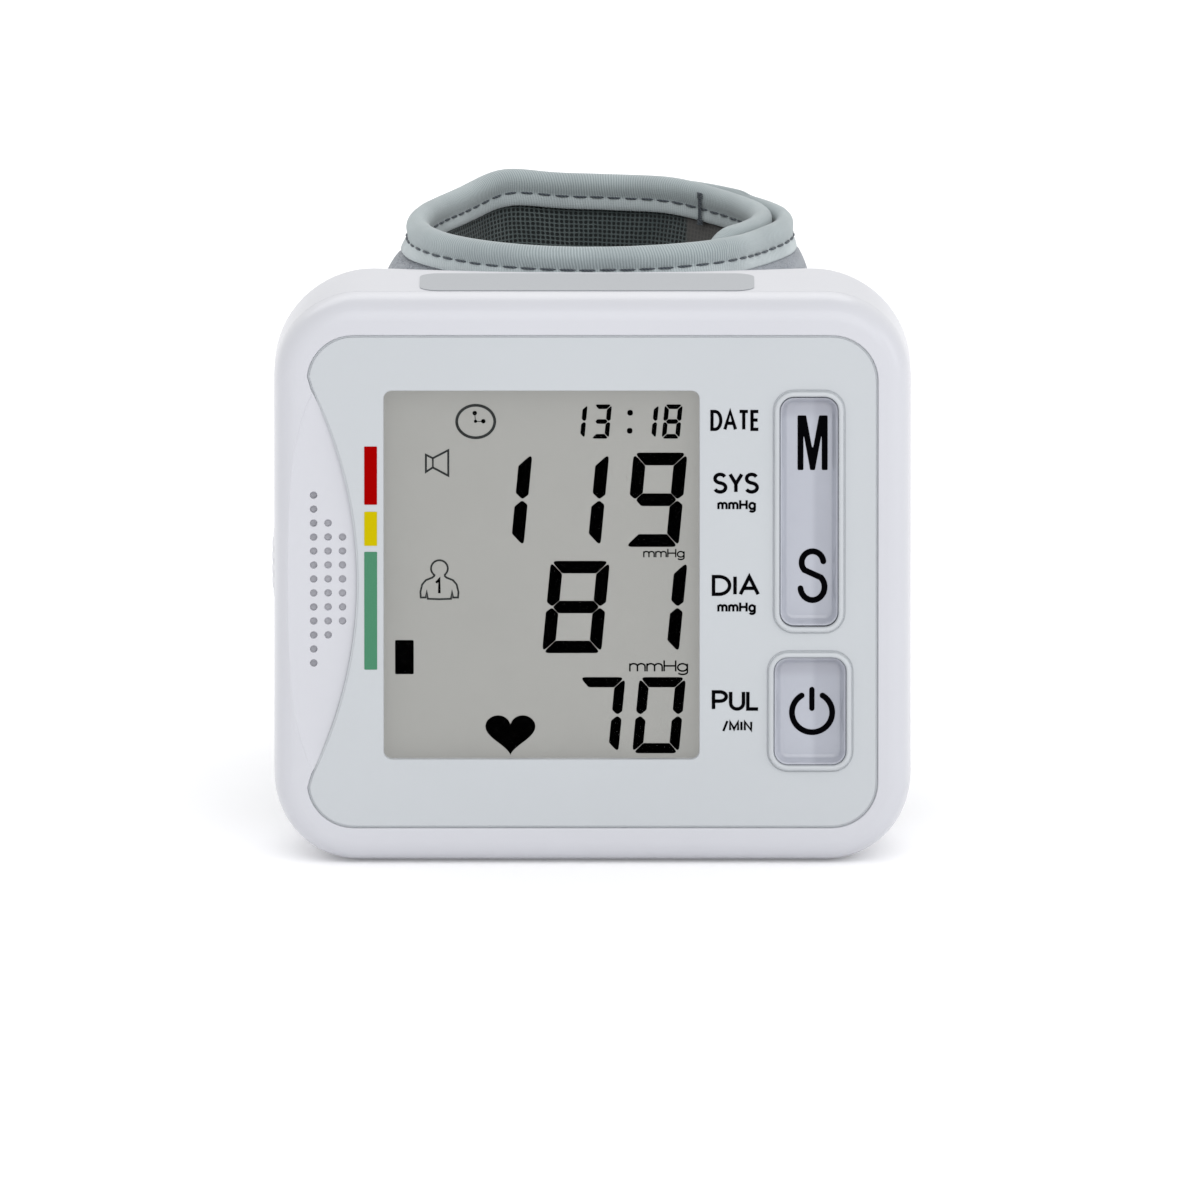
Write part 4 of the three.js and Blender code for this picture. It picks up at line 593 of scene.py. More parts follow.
case = {
    "width": 80.0, "height": 72.3, "depth": 28.5, "wall": 1.6, "frontCorner": 10.4, "backCorner": 13.0,
    "rim": 4.4, "crown": 8.0, "crownPower": 3.5, "backInset": 4.0, "backRound": 8.0,
    "reliefStart": 17.0, "reliefDrop": 3.2, "reliefHalf": 30.0, "reliefDepths": (17.0, 18.2, 19.4),
    "seam": 5.4, "seamGap": 0.07, "lip": 1.2, "lipThickness": 0.7, "panelSeat": 1.25, "cavityFront": 2.65,
    "cornerSteps": 16, "crownSteps": 12, "backSteps": 10, "edgeSteps": 24, "longEdge": 20,
}
case["cavityBack"] = case["depth"] - case["wall"]
case["lipEnd"] = case["seam"] + case["lip"]
halfDepth, leftSide = case["depth"] / 2, -case["width"] / 2


def caseRing(depth, inset, ahead=0.0):
    radius = case["frontCorner"] + (case["backCorner"] - case["frontCorner"]) * depth / case["depth"]
    outline = roundRect(0, case["height"] / 2, case["width"] - inset * 2, case["height"] - inset * 2,
                        max(radius - inset, 1.6), case["cornerSteps"])
    # the rear edges dip towards the middle, where the cuff lies behind them
    share = (depth + ahead - case["reliefStart"]) / (case["depth"] - case["reliefStart"])
    drop = case["reliefDrop"] * clamp(share) ** 2
    points, steps = [], case["edgeSteps"]
    for i, (x, z) in enumerate(outline):
        points.append((x, z))
        reach = outline[(i + 1) % len(outline)][0] - x
        if abs(reach) > case["longEdge"]:
            points += [(x + reach * k / steps, z) for k in range(1, steps)]
    relieved = []
    for x, z in points:
        near = max(1 - (x / case["reliefHalf"]) ** 2, 0.0) ** 2
        relieved.append((x, z + (drop if z < case["height"] / 2 else -drop) * near))
    return raised(relieved, depth)


def crownAt(depth):
    # how far the outside lies in from the full width, at a depth behind the front face
    if depth < case["crown"]:
        power = case["crownPower"]
        left = 1 - depth / case["crown"]
        return case["rim"] * (1 - (1 - left ** power) ** (1 / power))
    back = depth - (case["depth"] - case["backRound"])
    if back > 0:
        share = min(back / case["backRound"], 1.0)
        return case["backInset"] * (1 - math.sqrt(max(1 - share ** 2, 0.0)))
    return 0.0


def caseDepths(fromDepth, toDepth):
    steps, backSteps = case["crownSteps"], case["backSteps"]
    depths = [case["crown"] * (1 - math.cos(math.pi / 2 * i / steps) ** (2 / case["crownPower"]))
              for i in range(steps + 1)]
    depths += [halfDepth, *case["reliefDepths"]]
    depths += [case["depth"] - case["backRound"] * (1 - math.sin(math.pi / 2 * i / backSteps))
               for i in range(backSteps + 1)]
    return [fromDepth] + [d for d in depths if fromDepth + 0.01 < d < toDepth - 0.01] + [toDepth]


def caseSolid(fromDepth, toDepth, extra=0.0, ahead=0.0):
    # the outside between two depths, drawn in by extra; ahead takes its rounding from further back
    rings = [caseRing(d, crownAt(min(d + ahead, case["depth"])) + extra, ahead)
             for d in caseDepths(fromDepth, toDepth)]
    return Shape().skin(rings).make("tool")


panel = {"halfWidth": 35.6, "low": 4.95, "radius": 5.6, "bulge": 6.2, "front": 0.15, "thickness": 1.0,
         "groove": 0.22, "ledge": 0.2}


def panelOutline(grow):
    # a rounded square whose left side bulges in, round the speaker holes
    right = panel["halfWidth"] + grow
    low = panel["low"] - grow
    high = case["height"] - low
    radius = panel["radius"] + grow
    left = -right
    middle = case["height"] / 2
    halfChord = (high - low) / 2 - radius
    bulge = panel["bulge"]
    bulgeRadius = (halfChord ** 2 + bulge ** 2) / (bulge * 2)
    halfAngle = math.degrees(math.asin(halfChord / bulgeRadius))
    arcs = ((right - radius, low + radius, radius, -90, 0, 10),
            (right - radius, high - radius, radius, 0, 90, 10),
            (left + radius, high - radius, radius, 90, 174, 10),
            (left + bulge - bulgeRadius, middle, bulgeRadius, halfAngle - 1.2, 1.2 - halfAngle, 40),
            (left + radius, low + radius, radius, 186, 270, 10))
    return [point for x, z, size, *turn in arcs for point in arcPoints(x, z, size, size, *turn)]


window = {"x": -6.4, "z": 37.0, "width": 39.6, "height": 47.0, "radius": 1.0, "front": 0.45, "gap": 0.22,
          "flange": 0.75, "step": 1.3, "back": 2.2, "holeGrow": 0.9, "holeRadius": 1.2}
keys = {
    "power": {"x": 27.32, "z": 19.65, "width": 9.04, "height": 13.7, "endGap": 0.035, "name": "powerKey",
              "body": "power_button", "node": "power_button"},
    "rocker": {"x": 27.18, "z": 45.12, "width": 7.3, "height": 29.1, "endGap": 0.125, "name": "memorySetKey",
               "body": "memory_set_key", "node": "memory_set_key"},
}
keyLook = {"radius": 1.75, "sideGap": 0.035, "rim": 0.7, "proud": 0.35, "lipDepth": 0.12, "floor": 1.25,
           "wall": 0.72, "back": 3.3, "flange": 0.8, "flangeBack": 4.05, "moat": 0.15, "moatDepth": 0.12}
grille = {"holes": ((-1.0, 0.62), (0.0, 0.5), (3.4, 0.42)), "pitch": 1.785, "columnPitch": 1.81, "firstX": -35.0,
          "counts": (13, 9, 7), "middle": 36.4, "felt": 1.45, "feltBox": (-33.6, 36.15, 6.6, 25.0, 2.0),
          "pocket": ((-37.2, 23.4), (-30.0, 48.9)), "pocketBack": -10.0,
          "scoopX": -32.6, "scoopHalfWidth": 6.3, "scoopDepth": 0.95, "scoopHalfHeight": 26.5}
bay = {"left": -39.0, "right": -16.1, "floor": 15.0, "wall": 1.0, "low": 10.95, "high": 61.35}
door = {"right": -17.0, "low": 12.55, "high": 59.75, "sideDepth": 12.0, "gap": 0.2, "step": 0.2, "under": 2.6,
        "gripHeight": 9.6, "gripDepth": 8.0, "gripProud": 0.55, "gripMiddle": 20.9, "gripZ": 34.9,
        "gripBase": 0.8, "ridges": 6, "ridgeDepth": 0.2, "tongueZ": 14, "tongueHalf": 3,
        "tongueRoot": (2.0, 2.45), "tongueSteps": ((1.55, 1.85), (-0.4, 0.8))}
bosses = {"x": 32.8, "low": 7.2, "high": 65.1, "head": 2.05, "floor": 20.0}
hooks = {"x": 7.0, "rise": 11.96, "halfWidth": 3.75, "halfHeight": 1.15, "under": 2.6}
nozzle = {"x": 1.15, "z": 54.15, "radius": 1.9, "hole": 2.3, "under": 2.6}


def windowOutline(grow, radius=None):
    return roundRect(window["x"], window["z"], window["width"] + grow * 2, window["height"] + grow * 2,
                     radius or max(window["radius"] + grow, 0.4))


def keyOutline(key, grow, steps=8):
    return roundRect(key["x"], key["z"], key["width"] + grow * 2, key["height"] + grow * 2,
                     max(keyLook["radius"] + grow, 0.3), steps)


def openingOutline(key, grow):
    return roundRect(key["x"], key["z"], key["width"] + (keyLook["sideGap"] + grow) * 2,
                     key["height"] + (key["endGap"] + grow) * 2, keyLook["radius"] + keyLook["sideGap"] + grow)


def grilleTool():
    shape = Shape()
    for column, count in enumerate(grille["counts"]):
        x = grille["firstX"] + column * grille["columnPitch"]
        for row in range(count):
            z = grille["middle"] + (row - (count - 1) / 2) * grille["pitch"]
            shape.skin(stacked(lambda radius: circle(x, z, radius, 16), grille["holes"]))
    return shape.make("tool")


def scoopTool():
    # a shallow hollow in the front, round the speaker holes
    rings = []
    for i in range(1, 18):
        turn = math.pi * i / 18
        rings.append([(grille["scoopX"] + grille["scoopHalfWidth"] * math.sin(turn) * math.cos(math.pi * j / 20),
                       grille["scoopDepth"] * math.sin(turn) * math.sin(math.pi * j / 20) - halfDepth,
                       case["height"] / 2 - grille["scoopHalfHeight"] * math.cos(turn)) for j in range(40)])
    return Shape().skin(rings).make("tool")


def makeFrontCase():
    piece = caseSolid(0.0, case["seam"] - case["seamGap"] / 2)
    piece.name = "frontCase"
    lip = caseSolid(case["seam"] - 1.0, case["lipEnd"], case["wall"] - case["lipThickness"])
    carve(piece, [lip], "UNION")
    (pocketLeft, pocketLow), (pocketRight, pocketHigh) = grille["pocket"]
    through = (-1.0, 4.0)
    carve(piece, [
        caseSolid(case["cavityFront"], case["lipEnd"] + 1, case["wall"], case["wall"]),
        scoopTool(),
        flaredTool(lambda grow: panelOutline(panel["groove"] + grow), (
            (-1.0, 0.2), (-0.02, 0.2), (0.04, 0.09), (0.16, 0.02), (0.3, 0.0), (case["panelSeat"], 0.0))),
        flaredTool(lambda grow: windowOutline(grow, window["holeRadius"]),
                   [(depth, window["holeGrow"]) for depth in through]),
        grilleTool(),
        boxTool((pocketLeft, grille["felt"] - halfDepth, pocketLow),
                (pocketRight, grille["pocketBack"], pocketHigh)),
        *[flaredTool(lambda grow: keyOutline(key, grow), [(depth, 0.2) for depth in through])
          for key in keys.values()],
    ])
    dress(piece, "white")
    attach(piece, "monitor", "white_plastic", "front_case")


def makeGrilleFelt():
    # thin pale dust cloth stuck behind the speaker holes
    outline = roundRect(*grille["feltBox"])
    rings = [raised(outline, grille["felt"] + lift) for lift in (0.02, 0.2)]
    attach(Shape().skin(rings).make("grilleFelt", "felt"), "monitor")


def doorOpening(grow):
    # the L of the battery door: across the back and round the left side
    low, high, behind = door["low"] - grow, door["high"] + grow, halfDepth + 2
    back = boxTool((leftSide - 2, case["cavityBack"] - halfDepth - door["under"], low),
                   (door["right"] + grow, behind, high))
    side = boxTool((leftSide - 2, halfDepth - door["sideDepth"] - grow, low),
                   (leftSide + case["wall"] * 2, behind, high))
    return carve(back, [side], "UNION")


def makeRearCase():
    piece = caseSolid(case["seam"] + case["seamGap"] / 2, case["depth"])
    piece.name = "rearCase"
    carve(piece, [
        caseSolid(case["seam"] - 1, case["cavityBack"], case["wall"], case["wall"]),
        caseSolid(case["seam"] - 1, case["lipEnd"] + 0.1, case["wall"] - case["lipThickness"] - 0.1),
    ])
    wall, floor = bay["wall"], bay["floor"] - halfDepth
    outer = boxTool((bay["left"], floor - wall, bay["low"] - wall),
                    (bay["right"] + wall, halfDepth - 1.0, bay["high"] + wall))
    carve(outer, [boxTool((-45, floor, bay["low"]), (bay["right"], halfDepth, bay["high"]))])
    carve(outer, [caseSolid(case["seam"] + 2, case["depth"] - 0.8, 0.8, 0.8)], "INTERSECT")
    carve(piece, [outer], "UNION")
    tools = [carve(doorOpening(door["gap"]), [boxTool((-60, -40, -5), (60, floor, 90))])]
    pairs = [(side, end) for side in (-1, 1) for end in (-1, 1)]
    for side, end in pairs:
        z = bosses["low"] if end < 0 else bosses["high"]
        tools.append(rodTool(side * bosses["x"], z, bosses["head"], bosses["floor"], case["depth"] + 1))
    for side, end in pairs:
        x, z = side * hooks["x"], case["height"] / 2 + end * hooks["rise"]
        tools.append(boxTool((x - hooks["halfWidth"], halfDepth - hooks["under"], z - hooks["halfHeight"]),
                             (x + hooks["halfWidth"], halfDepth + 1, z + hooks["halfHeight"])))
    tools.append(rodTool(nozzle["x"], nozzle["z"], nozzle["radius"], case["depth"] - nozzle["under"],
                         case["depth"] + 1))
    carve(piece, tools)
    dress(piece, "white")
    attach(piece, "monitor", "white_plastic", "rear_case")


def makeDoor():
    piece = caseSolid(case["seam"] + 2, case["depth"], door["step"])
    piece.name = "batteryDoor"
    carve(piece, [caseSolid(case["seam"] + 1, case["cavityBack"], case["wall"], case["wall"])])
    carve(piece, [doorOpening(0.0)], "INTERSECT")
    face = leftSide + door["step"]
    middle, tall = door["gripZ"], door["gripHeight"] / 2
    rings = []
    for i in range(9):
        depth = door["gripMiddle"] - halfDepth + door["gripDepth"] * (i / 8 - 0.5)
        swell = math.sin(math.pi * (0.08 + 0.84 * i / 8)) ** 0.4
        ring = [(face + door["gripBase"], depth, middle + tall)]
        for j in range(61):
            share = 1 - 2 * j / 60
            proud = door["gripProud"] * (1 - abs(share) ** 5)
            groove = door["ridgeDepth"] * (0.5 + 0.5 * math.cos(math.pi * door["ridges"] * share)) ** 3
            ring.append((face - max(proud - groove, 0.0) * swell, depth, middle + tall * share))
        rings.append(ring + [(face + door["gripBase"], depth, middle - tall)])
    carve(piece, [Shape().skin(rings).make("tool")], "UNION")
    tongues = []
    inward, under = door["tongueRoot"]
    for side in (-1, 1):
        z = case["height"] / 2 + side * door["tongueZ"]
        for reach, back in door["tongueSteps"]:
            tongues.append(boxTool((door["right"] - inward, halfDepth - under, z - door["tongueHalf"]),
                                   (door["right"] + reach, halfDepth - back, z + door["tongueHalf"])))
    carve(piece, tongues, "UNION")
    dress(piece, "white")
    attach(piece, "battery_door", "white_plastic", "battery_door")


def makePanel():
    front, back = panel["front"], panel["front"] + panel["thickness"]
    ledge, reach = front + panel["ledge"], panel["groove"] - 0.02
    rim, proud = keyLook["rim"], keyLook["proud"]
    edge = rim + keyLook["moat"]
    piece = Shape().skin(stacked(panelOutline, (
        (back, reach), (ledge + 0.04, reach), (ledge, reach - 0.03), (ledge - 0.02, 0.03), (ledge - 0.05, 0.0),
        (front + 0.1, -0.01), (front + 0.04, -0.04), (front + 0.01, -0.1), (front, -0.22)))).make("facePanel")

    def roundKeys(levels):
        return [flaredTool(lambda grow: openingOutline(key, grow), levels) for key in keys.values()]

    carve(piece, roundKeys(((-1.0, edge + 0.1), (front - 0.01, edge + 0.1), (front + 0.03, edge + 0.02),
                            (front + keyLook["moatDepth"], edge - 0.06))))
    carve(piece, roundKeys(((back, rim), (front + 0.1, rim), (front - 0.02, rim - 0.03),
                            (-proud + 0.14, rim - 0.1), (-proud + 0.04, rim - 0.2), (-proud, rim - 0.36),
                            (-proud, 0.3))), "UNION")
    opening = flaredTool(windowOutline, ((-1.0, 0.12), (front - 0.01, 0.12), (front + 0.05, 0.04),
                                         (front + 0.14, 0.0), (2.0, 0.0)))
    carve(piece, [opening] + roundKeys(((-1.0, 0.3), (-proud - 0.01, 0.3), (-proud + 0.04, 0.16),
                                        (-proud + 0.14, 0.06), (-proud + 0.32, 0.0), (2.0, 0.0))))
    dress(piece, "panel", 32)
    attach(piece, "monitor", "panel_plastic", "face_panel")


def makeWindow():
    gap, front, flange, step = [window[key] for key in ("gap", "front", "flange", "step")]
    rings = stacked(windowOutline, ((window["back"], flange), (step, flange), (step, -gap), (front + 0.12, -gap),
                                    (front + 0.03, -gap - 0.05), (front, -gap - 0.15)))
    attach(Shape().skin(rings).make("displayWindow", "clear", 30), "monitor", "clear_plastic",
           "display_window")


def makeKey(key):
    # a tray: narrow lip, steep inner wall, flat floor a millimetre down
    lip, floor, wall = keyLook["lipDepth"], keyLook["floor"], keyLook["wall"]
    rings = stacked(lambda grow: keyOutline(key, grow, 10), (
        (keyLook["flangeBack"], keyLook["flange"]), (keyLook["back"], keyLook["flange"]), (keyLook["back"], 0.0),
        (lip + 0.12, 0.0), (lip + 0.04, -0.03), (lip, -0.1), (lip + 0.02, -0.18), (lip + 0.1, -0.26),
        (floor - 0.42, -wall + 0.1), (floor - 0.2, -wall - 0.02), (floor - 0.06, -wall - 0.22),
        (floor, -wall - 0.55)))
    attach(Shape().skin(rings).make(key["name"], "key", 50), key["body"], "key_plastic", key["node"])


print("case")
makeFrontCase()
makeGrilleFelt()
makeRearCase()
makeDoor()
makePanel()
makeWindow()
for key in keys.values():
    makeKey(key)


# Lettering, bars and display: flat strokes set a hair in front of what carries them

photo = {"centreX": 592.5, "across": 0.1258, "base": 864.8, "up": 7.814, "deep": 1.449}
plate = {"thickness": 0.03, "ahead": 0.005}


def onFace(px, py, depth):
    # a point of the photograph, as x and z on a face at that depth
    return ((px - photo["centreX"]) * photo["across"], (photo["base"] - py - photo["deep"] * depth) / photo["up"])


def faceBox(box, depth):
    # left, right, low and high on that face, of a box of pixels (left, top, right, bottom)
    (x0, z1), (x1, z0) = onFace(*box[:2], depth), onFace(*box[2:], depth)
    return x0, x1, z0, z1


def addPlate(shape, outline, depth):
    # a thin flat plate with this outline of (x, z)
    shape.skin([raised(outline, depth), raised(outline, depth - plate["thickness"])])


def addBar(shape, box, radius, depth):
    x0, x1, z0, z1 = faceBox(box, depth)
    addPlate(shape, roundRect((x0 + x1) / 2, (z0 + z1) / 2, x1 - x0, z1 - z0, radius, 3), depth)


def addDots(shape, dots, depth):
    for px, py, width, height, radius, steps in dots:
        addPlate(shape, roundRect(*onFace(px, py, depth), width, height, radius, steps), depth)


def addStroke(shape, points, width, depth, roundEnds=True):
    # a ribbon of even width along the points, which are (x, z)
    points = [Vector(p) for p in points]
    closed = (points[0] - points[-1]).length < 1e-4
    if closed:
        points.pop()
    sides = []
    count = len(points)
    for i, point in enumerate(points):
        before = points[i - 1] if closed or i else point
        after = points[(i + 1) % count] if closed or i < count - 1 else point
        inward = (point - before).normalized() if (point - before).length else (after - point).normalized()
        outward = (after - point).normalized() if (after - point).length else inward
        tangent = (inward + outward).normalized() if (inward + outward).length > 0.05 else inward
        normal = Vector((-tangent.y, tangent.x))
        lean = max(normal.dot(Vector((-inward.y, inward.x))), 0.45)
        sides.append((point, normal, width / 2 / lean, tangent))

    def roundEnd(point, normal, reach, tangent):
        return [(point + tangent * math.sin(bend) * width / 2, normal, width / 2 * math.cos(bend))
                for bend in [math.radians(turn) for turn in (28, 55, 80)]]

    rows = [(point, normal, reach) for point, normal, reach, tangent in sides]
    if closed:
        rows.append(rows[0])
    elif roundEnds:
        point, normal, reach, tangent = sides[0]
        rows = roundEnd(point, normal, reach, -tangent)[::-1] + rows + roundEnd(*sides[-1])
    rings = []
    for point, normal, reach in rows:
        edges = [point + normal * reach, point - normal * reach]
        rings.append(raised(edges, depth) + raised(edges[::-1], depth - plate["thickness"]))
    shape.skin(rings, caps=not closed)


glyphs = {
    "D": [[(0.25, 0), (0, 0), (0, 1), (0.35, 1)] + arcPoints(0.35, 0.5, 0.65, 0.5, 84, -90) + [(0.25, 0)]],
    "A": [[(0, 0), (0.5, 1), (1, 0)], [(0.19, 0.34), (0.81, 0.34)]],
    "T": [[(0, 1), (1, 1)], [(0.5, 1), (0.5, 0)]],
    "E": [[(1, 1), (0, 1), (0, 0), (1, 0)], [(0, 0.52), (0.88, 0.52)]],
    "S": [arcPoints(0.5, 0.76, 0.46, 0.24, 25, 255) + arcPoints(0.5, 0.25, 0.5, 0.25, 75, -155)],
    "Y": [[(0, 1), (0.5, 0.46), (1, 1)], [(0.5, 0.46), (0.5, 0)]],
    "I": [[(0.5, 0), (0.5, 1)]],
    "P": [[(0, 0), (0, 1), (0.5, 1)] + arcPoints(0.5, 0.73, 0.5, 0.27, 82, -90, 10) + [(0, 0.46)]],
    "U": [[(0, 1)] + arcPoints(0.5, 0.34, 0.5, 0.34, 180, 360) + [(1, 1)]],
    "L": [[(0, 1), (0, 0), (1, 0)]],
    "M": [[(0, 0), (0, 1), (0.5, 0.12), (1, 1), (1, 0)]],
    "N": [[(0, 0), (0, 1), (1, 0), (1, 1)]],
    "H": [[(0, 0), (0, 1)], [(1, 0), (1, 1)], [(0, 0.5), (1, 0.5)]],
    "/": [[(0, -0.1), (1, 1.1)]],
    "m": [[(0, 0), (0, 0.72)], arcPoints(0.25, 0.46, 0.25, 0.24, 175, 0, 8) + [(0.5, 0)],
          arcPoints(0.75, 0.46, 0.25, 0.24, 175, 0, 8) + [(1, 0)]],
    "g": [arcPoints(0.5, 0.36, 0.5, 0.34, 0, 360, 14), [(1, 0.7)] + arcPoints(0.5, -0.06, 0.5, 0.22, 0, -150, 8)],
    "1": [[(0.1, 0.74), (0.55, 1), (0.55, 0)]],
}


def addWords(shape, words, depth):
    # letters share each word's box of photograph pixels by their widths
    for word, box, width, shares in words:
        x0, x1, z0, z1 = faceBox(box, depth)
        half = width / 2
        x0, x1, z0, z1 = x0 + half, x1 - half, z0 + half, z1 - half
        gap = width * 1.25
        unit = (x1 - x0 - gap * (len(word) - 1)) / sum(shares)
        cursor = x0
        for letter, share in zip(word, shares):
            size = unit * share
            for stroke in glyphs[letter]:
                points = [(cursor + size * u, z0 + (z1 - z0) * v) for u, v in stroke]
                addStroke(shape, points, width, depth, False)
            cursor += size + gap


def makePrint(shape, name, finish, body="monitor", slot=None):
    attach(shape.make(name, finish, 30), body, slot)


panelPrint = {
    # word, box of photograph pixels, width of the stroke, share of each letter
    "words": [
        ("DATE", (710, 410.5, 759.5, 431.5), 0.41, (1, 1.2, 0.95, 0.72)),
        ("SYS", (712.5, 473, 758.5, 494), 0.44, (1, 1.05, 1)),
        ("DIA", (711.5, 575, 759.5, 596), 0.44, (1, 0.12, 1.1)),
        ("PUL", (711.5, 690, 759.5, 710.5), 0.44, (1, 1, 0.8)),
        ("mmHg", (717, 499.5, 755.5, 510.5), 0.28, (1.2, 1.2, 0.95, 0.8)),
        ("mmHg", (717, 601.5, 755.5, 612.5), 0.28, (1.2, 1.2, 0.95, 0.8)),
        ("/MIN", (722, 720.5, 752, 731), 0.28, (0.5, 1, 0.15, 0.8)),
    ],
    "bars": {"red": (364.8, 447, 377.6, 505), "yellow": (364.8, 512, 377.6, 546),
             "green": (364.8, 552, 377.6, 669.5)},
}


def makePanelPrint():
    # the words beside the display, and the scale bars
    depth = panel["front"] - plate["ahead"]
    shape = Shape()
    addWords(shape, panelPrint["words"], depth)
    makePrint(shape, "panelLettering", "ink")
    for colour, box in panelPrint["bars"].items():
        shape = Shape()
        addBar(shape, box, 0.1, depth)
        makePrint(shape, colour + "Bar", colour)


keyMarks = {"m": (797.0, 416, 827, 470.4), "s": (797, 548.5, 827, 603), "stroke": 0.74, "slant": 0.33,
            "point": 0.29, "shoulder": 2.25, "valley": 2.45, "corner": 0.17, "power": (811.7, 712.2),
            "powerRadius": 20.1, "powerStroke": 0.72, "stem": (811.5, 686.6, 811.5, 710.8), "stemStroke": 0.66,
            "stemEnd": 0.34}


def makeKeyMarks():
    depth = keyLook["floor"] - plate["ahead"]
    shape = Shape()
    x0, x1, z0, z1 = faceBox(keyMarks["m"], depth)
    width, slant, point = keyMarks["stroke"], keyMarks["slant"], keyMarks["point"]
    h, middle = width / 2, (x0 + x1) / 2
    left = [(x0, z0), (x0 + width, z0), (x0 + width, z1 - keyMarks["shoulder"]), (middle - point, z0)]
    top = [(x1, z1), (x1 - width - slant, z1), (middle, z0 + keyMarks["valley"]),
           (x0 + width + slant, z1), (x0, z1)]
    right = [(x0 + x1 - x, z) for x, z in reversed(left)]
    addPlate(shape, rounded(left + right + top, keyMarks["corner"]), depth)
    x0, x1, z0, z1 = faceBox(keyMarks["s"], depth)
    arcs = arcPoints(0.5, 0.77, 0.45, 0.23, 6, 222, 16) + arcPoints(0.5, 0.27, 0.5, 0.27, 46, -174, 16)
    addStroke(shape, [(x0 + h + (x1 - x0 - width) * u, z0 + h + (z1 - z0 - width) * v) for u, v in arcs],
              width, depth)
    makePrint(shape, "keyLetters", "ink", "memory_set_key")
    shape = Shape()
    x, z = onFace(*keyMarks["power"], depth)
    radius = keyMarks["powerRadius"] * photo["across"]
    addStroke(shape, arcPoints(x, z, radius, radius, 121, 419, 48), keyMarks["powerStroke"], depth)
    x0, x1, z0, z1 = faceBox(keyMarks["stem"], depth)
    stem = [(x0, z0 + keyMarks["stemEnd"]), (x0, z1 - keyMarks["stemEnd"])]
    addStroke(shape, stem, keyMarks["stemStroke"], depth)
    makePrint(shape, "powerSymbol", "ink", "power_button")


personX = 439.7
display = {
    "slant": 0.0945, "gap": 0.055, "corner": 0.36, "bevel": 0.06,
    "layers": ((0.0, 0.22, 0.6), (0.23, 1.0, 0.05), (1.01, 1.85, 0.05)),
    "lit": {"0": "abcdef", "1": "bc", "3": "abcdg", "7": "abc", "8": "abcdefg", "9": "abcdfg"},
    # digit, box of photograph pixels, thickness of its segments in pixels
    "digits": (
        ("1", (470, 453, 532.7, 547), 12.9), ("1", (546.5, 453, 609.4, 547), 12.9),
        ("9", (624.6, 453, 687.4, 547), 12.9), ("8", (542, 561, 610, 653), 12.6),
        ("1", (622, 561, 687.4, 653), 12.6), ("7", (572, 677, 625.5, 753), 10.3),
        ("0", (632, 677, 686, 753), 10.3), ("1", (566, 405, 587.7, 439), 4.6), ("3", (591, 405, 612, 439), 4.6),
        ("1", (637, 405, 658.7, 439), 4.6), ("8", (661.4, 405, 682.6, 439), 4.6),
    ),
    "colon": ((630, 413.3, 0.7, 0.72, 0.3, 4), (629.6, 431.2, 0.7, 0.72, 0.3, 4)),
    "marker": (395.4, 640, 414, 674), "heart": (510.5, 755, 25, 40),
    "clockDots": ((475, 413.6, 0.56, 0.56, 0.252, 3), (475.8, 421.8, 0.4, 0.4, 0.18, 3),
                  (483.6, 421.7, 0.56, 0.56, 0.252, 3)),
    # points in photograph pixels, width of the stroke, round ends: clock, its hands, speaker, person
    "icons": (
        (arcPoints(476, 422, 19, 16.2, 0, 360, 40), 0.36, False),
        (((475, 413.8), (475.8, 422), (483, 421.8)), 0.1, False),
        (((426.3, 455.2), (433.2, 458.6), (448.6, 450.6), (448.6, 476), (433.2, 467.8), (426.3, 472.2),
          (426.3, 455.2)), 0.26, False),
        (((433.2, 458.6), (433.2, 467.8)), 0.22, False),
        (arcPoints(personX, 568.5, 8.4, 8.2, 125, 410, 19), 0.24, True),
        *[([(personX + side * u, v) for u, v in (
            (4.8, 575.5), (7.0, 577.6), (13.5, 580.2), (17.2, 584.5), (19, 592), (18.6, 597.5), (13.6, 597.5),
            (12.6, 591), (11.6, 598.8), (0, 599.2))], 0.24, False) for side in (-1, 1)],
    ),
    "units": [
        ("mmHg", (643, 548.5, 684.5, 558), 0.17, (1.25, 1.25, 0.95, 0.8)),
        ("mmHg", (629, 659.5, 688, 672), 0.2, (1.25, 1.25, 0.95, 0.8)),
        ("1", (434.5, 578, 444, 594.5), 0.32, (1,)),
    ],
}


def addDigit(shape, digit, box, thickness, depth):
    # seven slanted segments, a to g from the top bar to the middle bar
    x0, x1, z0, z1 = faceBox(box, depth)
    h = z1 - z0
    w = (x1 - x0) - h * display["slant"]
    t, g = thickness * photo["across"], display["gap"]
    m = h / 2
    low, high = t * 0.95 + g, w - t * 0.95 - g
    segments = {
        "a": [(g, h), (w - g, h), (high, h - t), (low, h - t)],
        "d": [(low, t), (high, t), (w - g, 0), (g, 0)],
        "g": [(t * 0.45 + g, m), (low, m + t / 2), (high, m + t / 2), (w - t * 0.45 - g, m),
              (high, m - t / 2), (low, m - t / 2)],
        "f": [(0, h - g * 1.5), (t, h - t - g * 1.5), (t, m + t / 2 + g), (t * 0.45, m + g), (0, m + t * 0.4)],
        "e": [(0, g * 1.5), (t, t + g * 1.5), (t, m - t / 2 - g), (t * 0.45, m - g), (0, m - t * 0.4)],
    }
    for right, left in ("bf", "ce"):
        segments[right] = [(w - u, v) for u, v in segments[left]]
    for name in display["lit"][digit]:
        outline = [(x0 + u + v * display["slant"], z0 + v) for u, v in segments[name]]
        addPlate(shape, rounded(outline, display["corner"] * min(thickness / 10, 1.0)), depth)


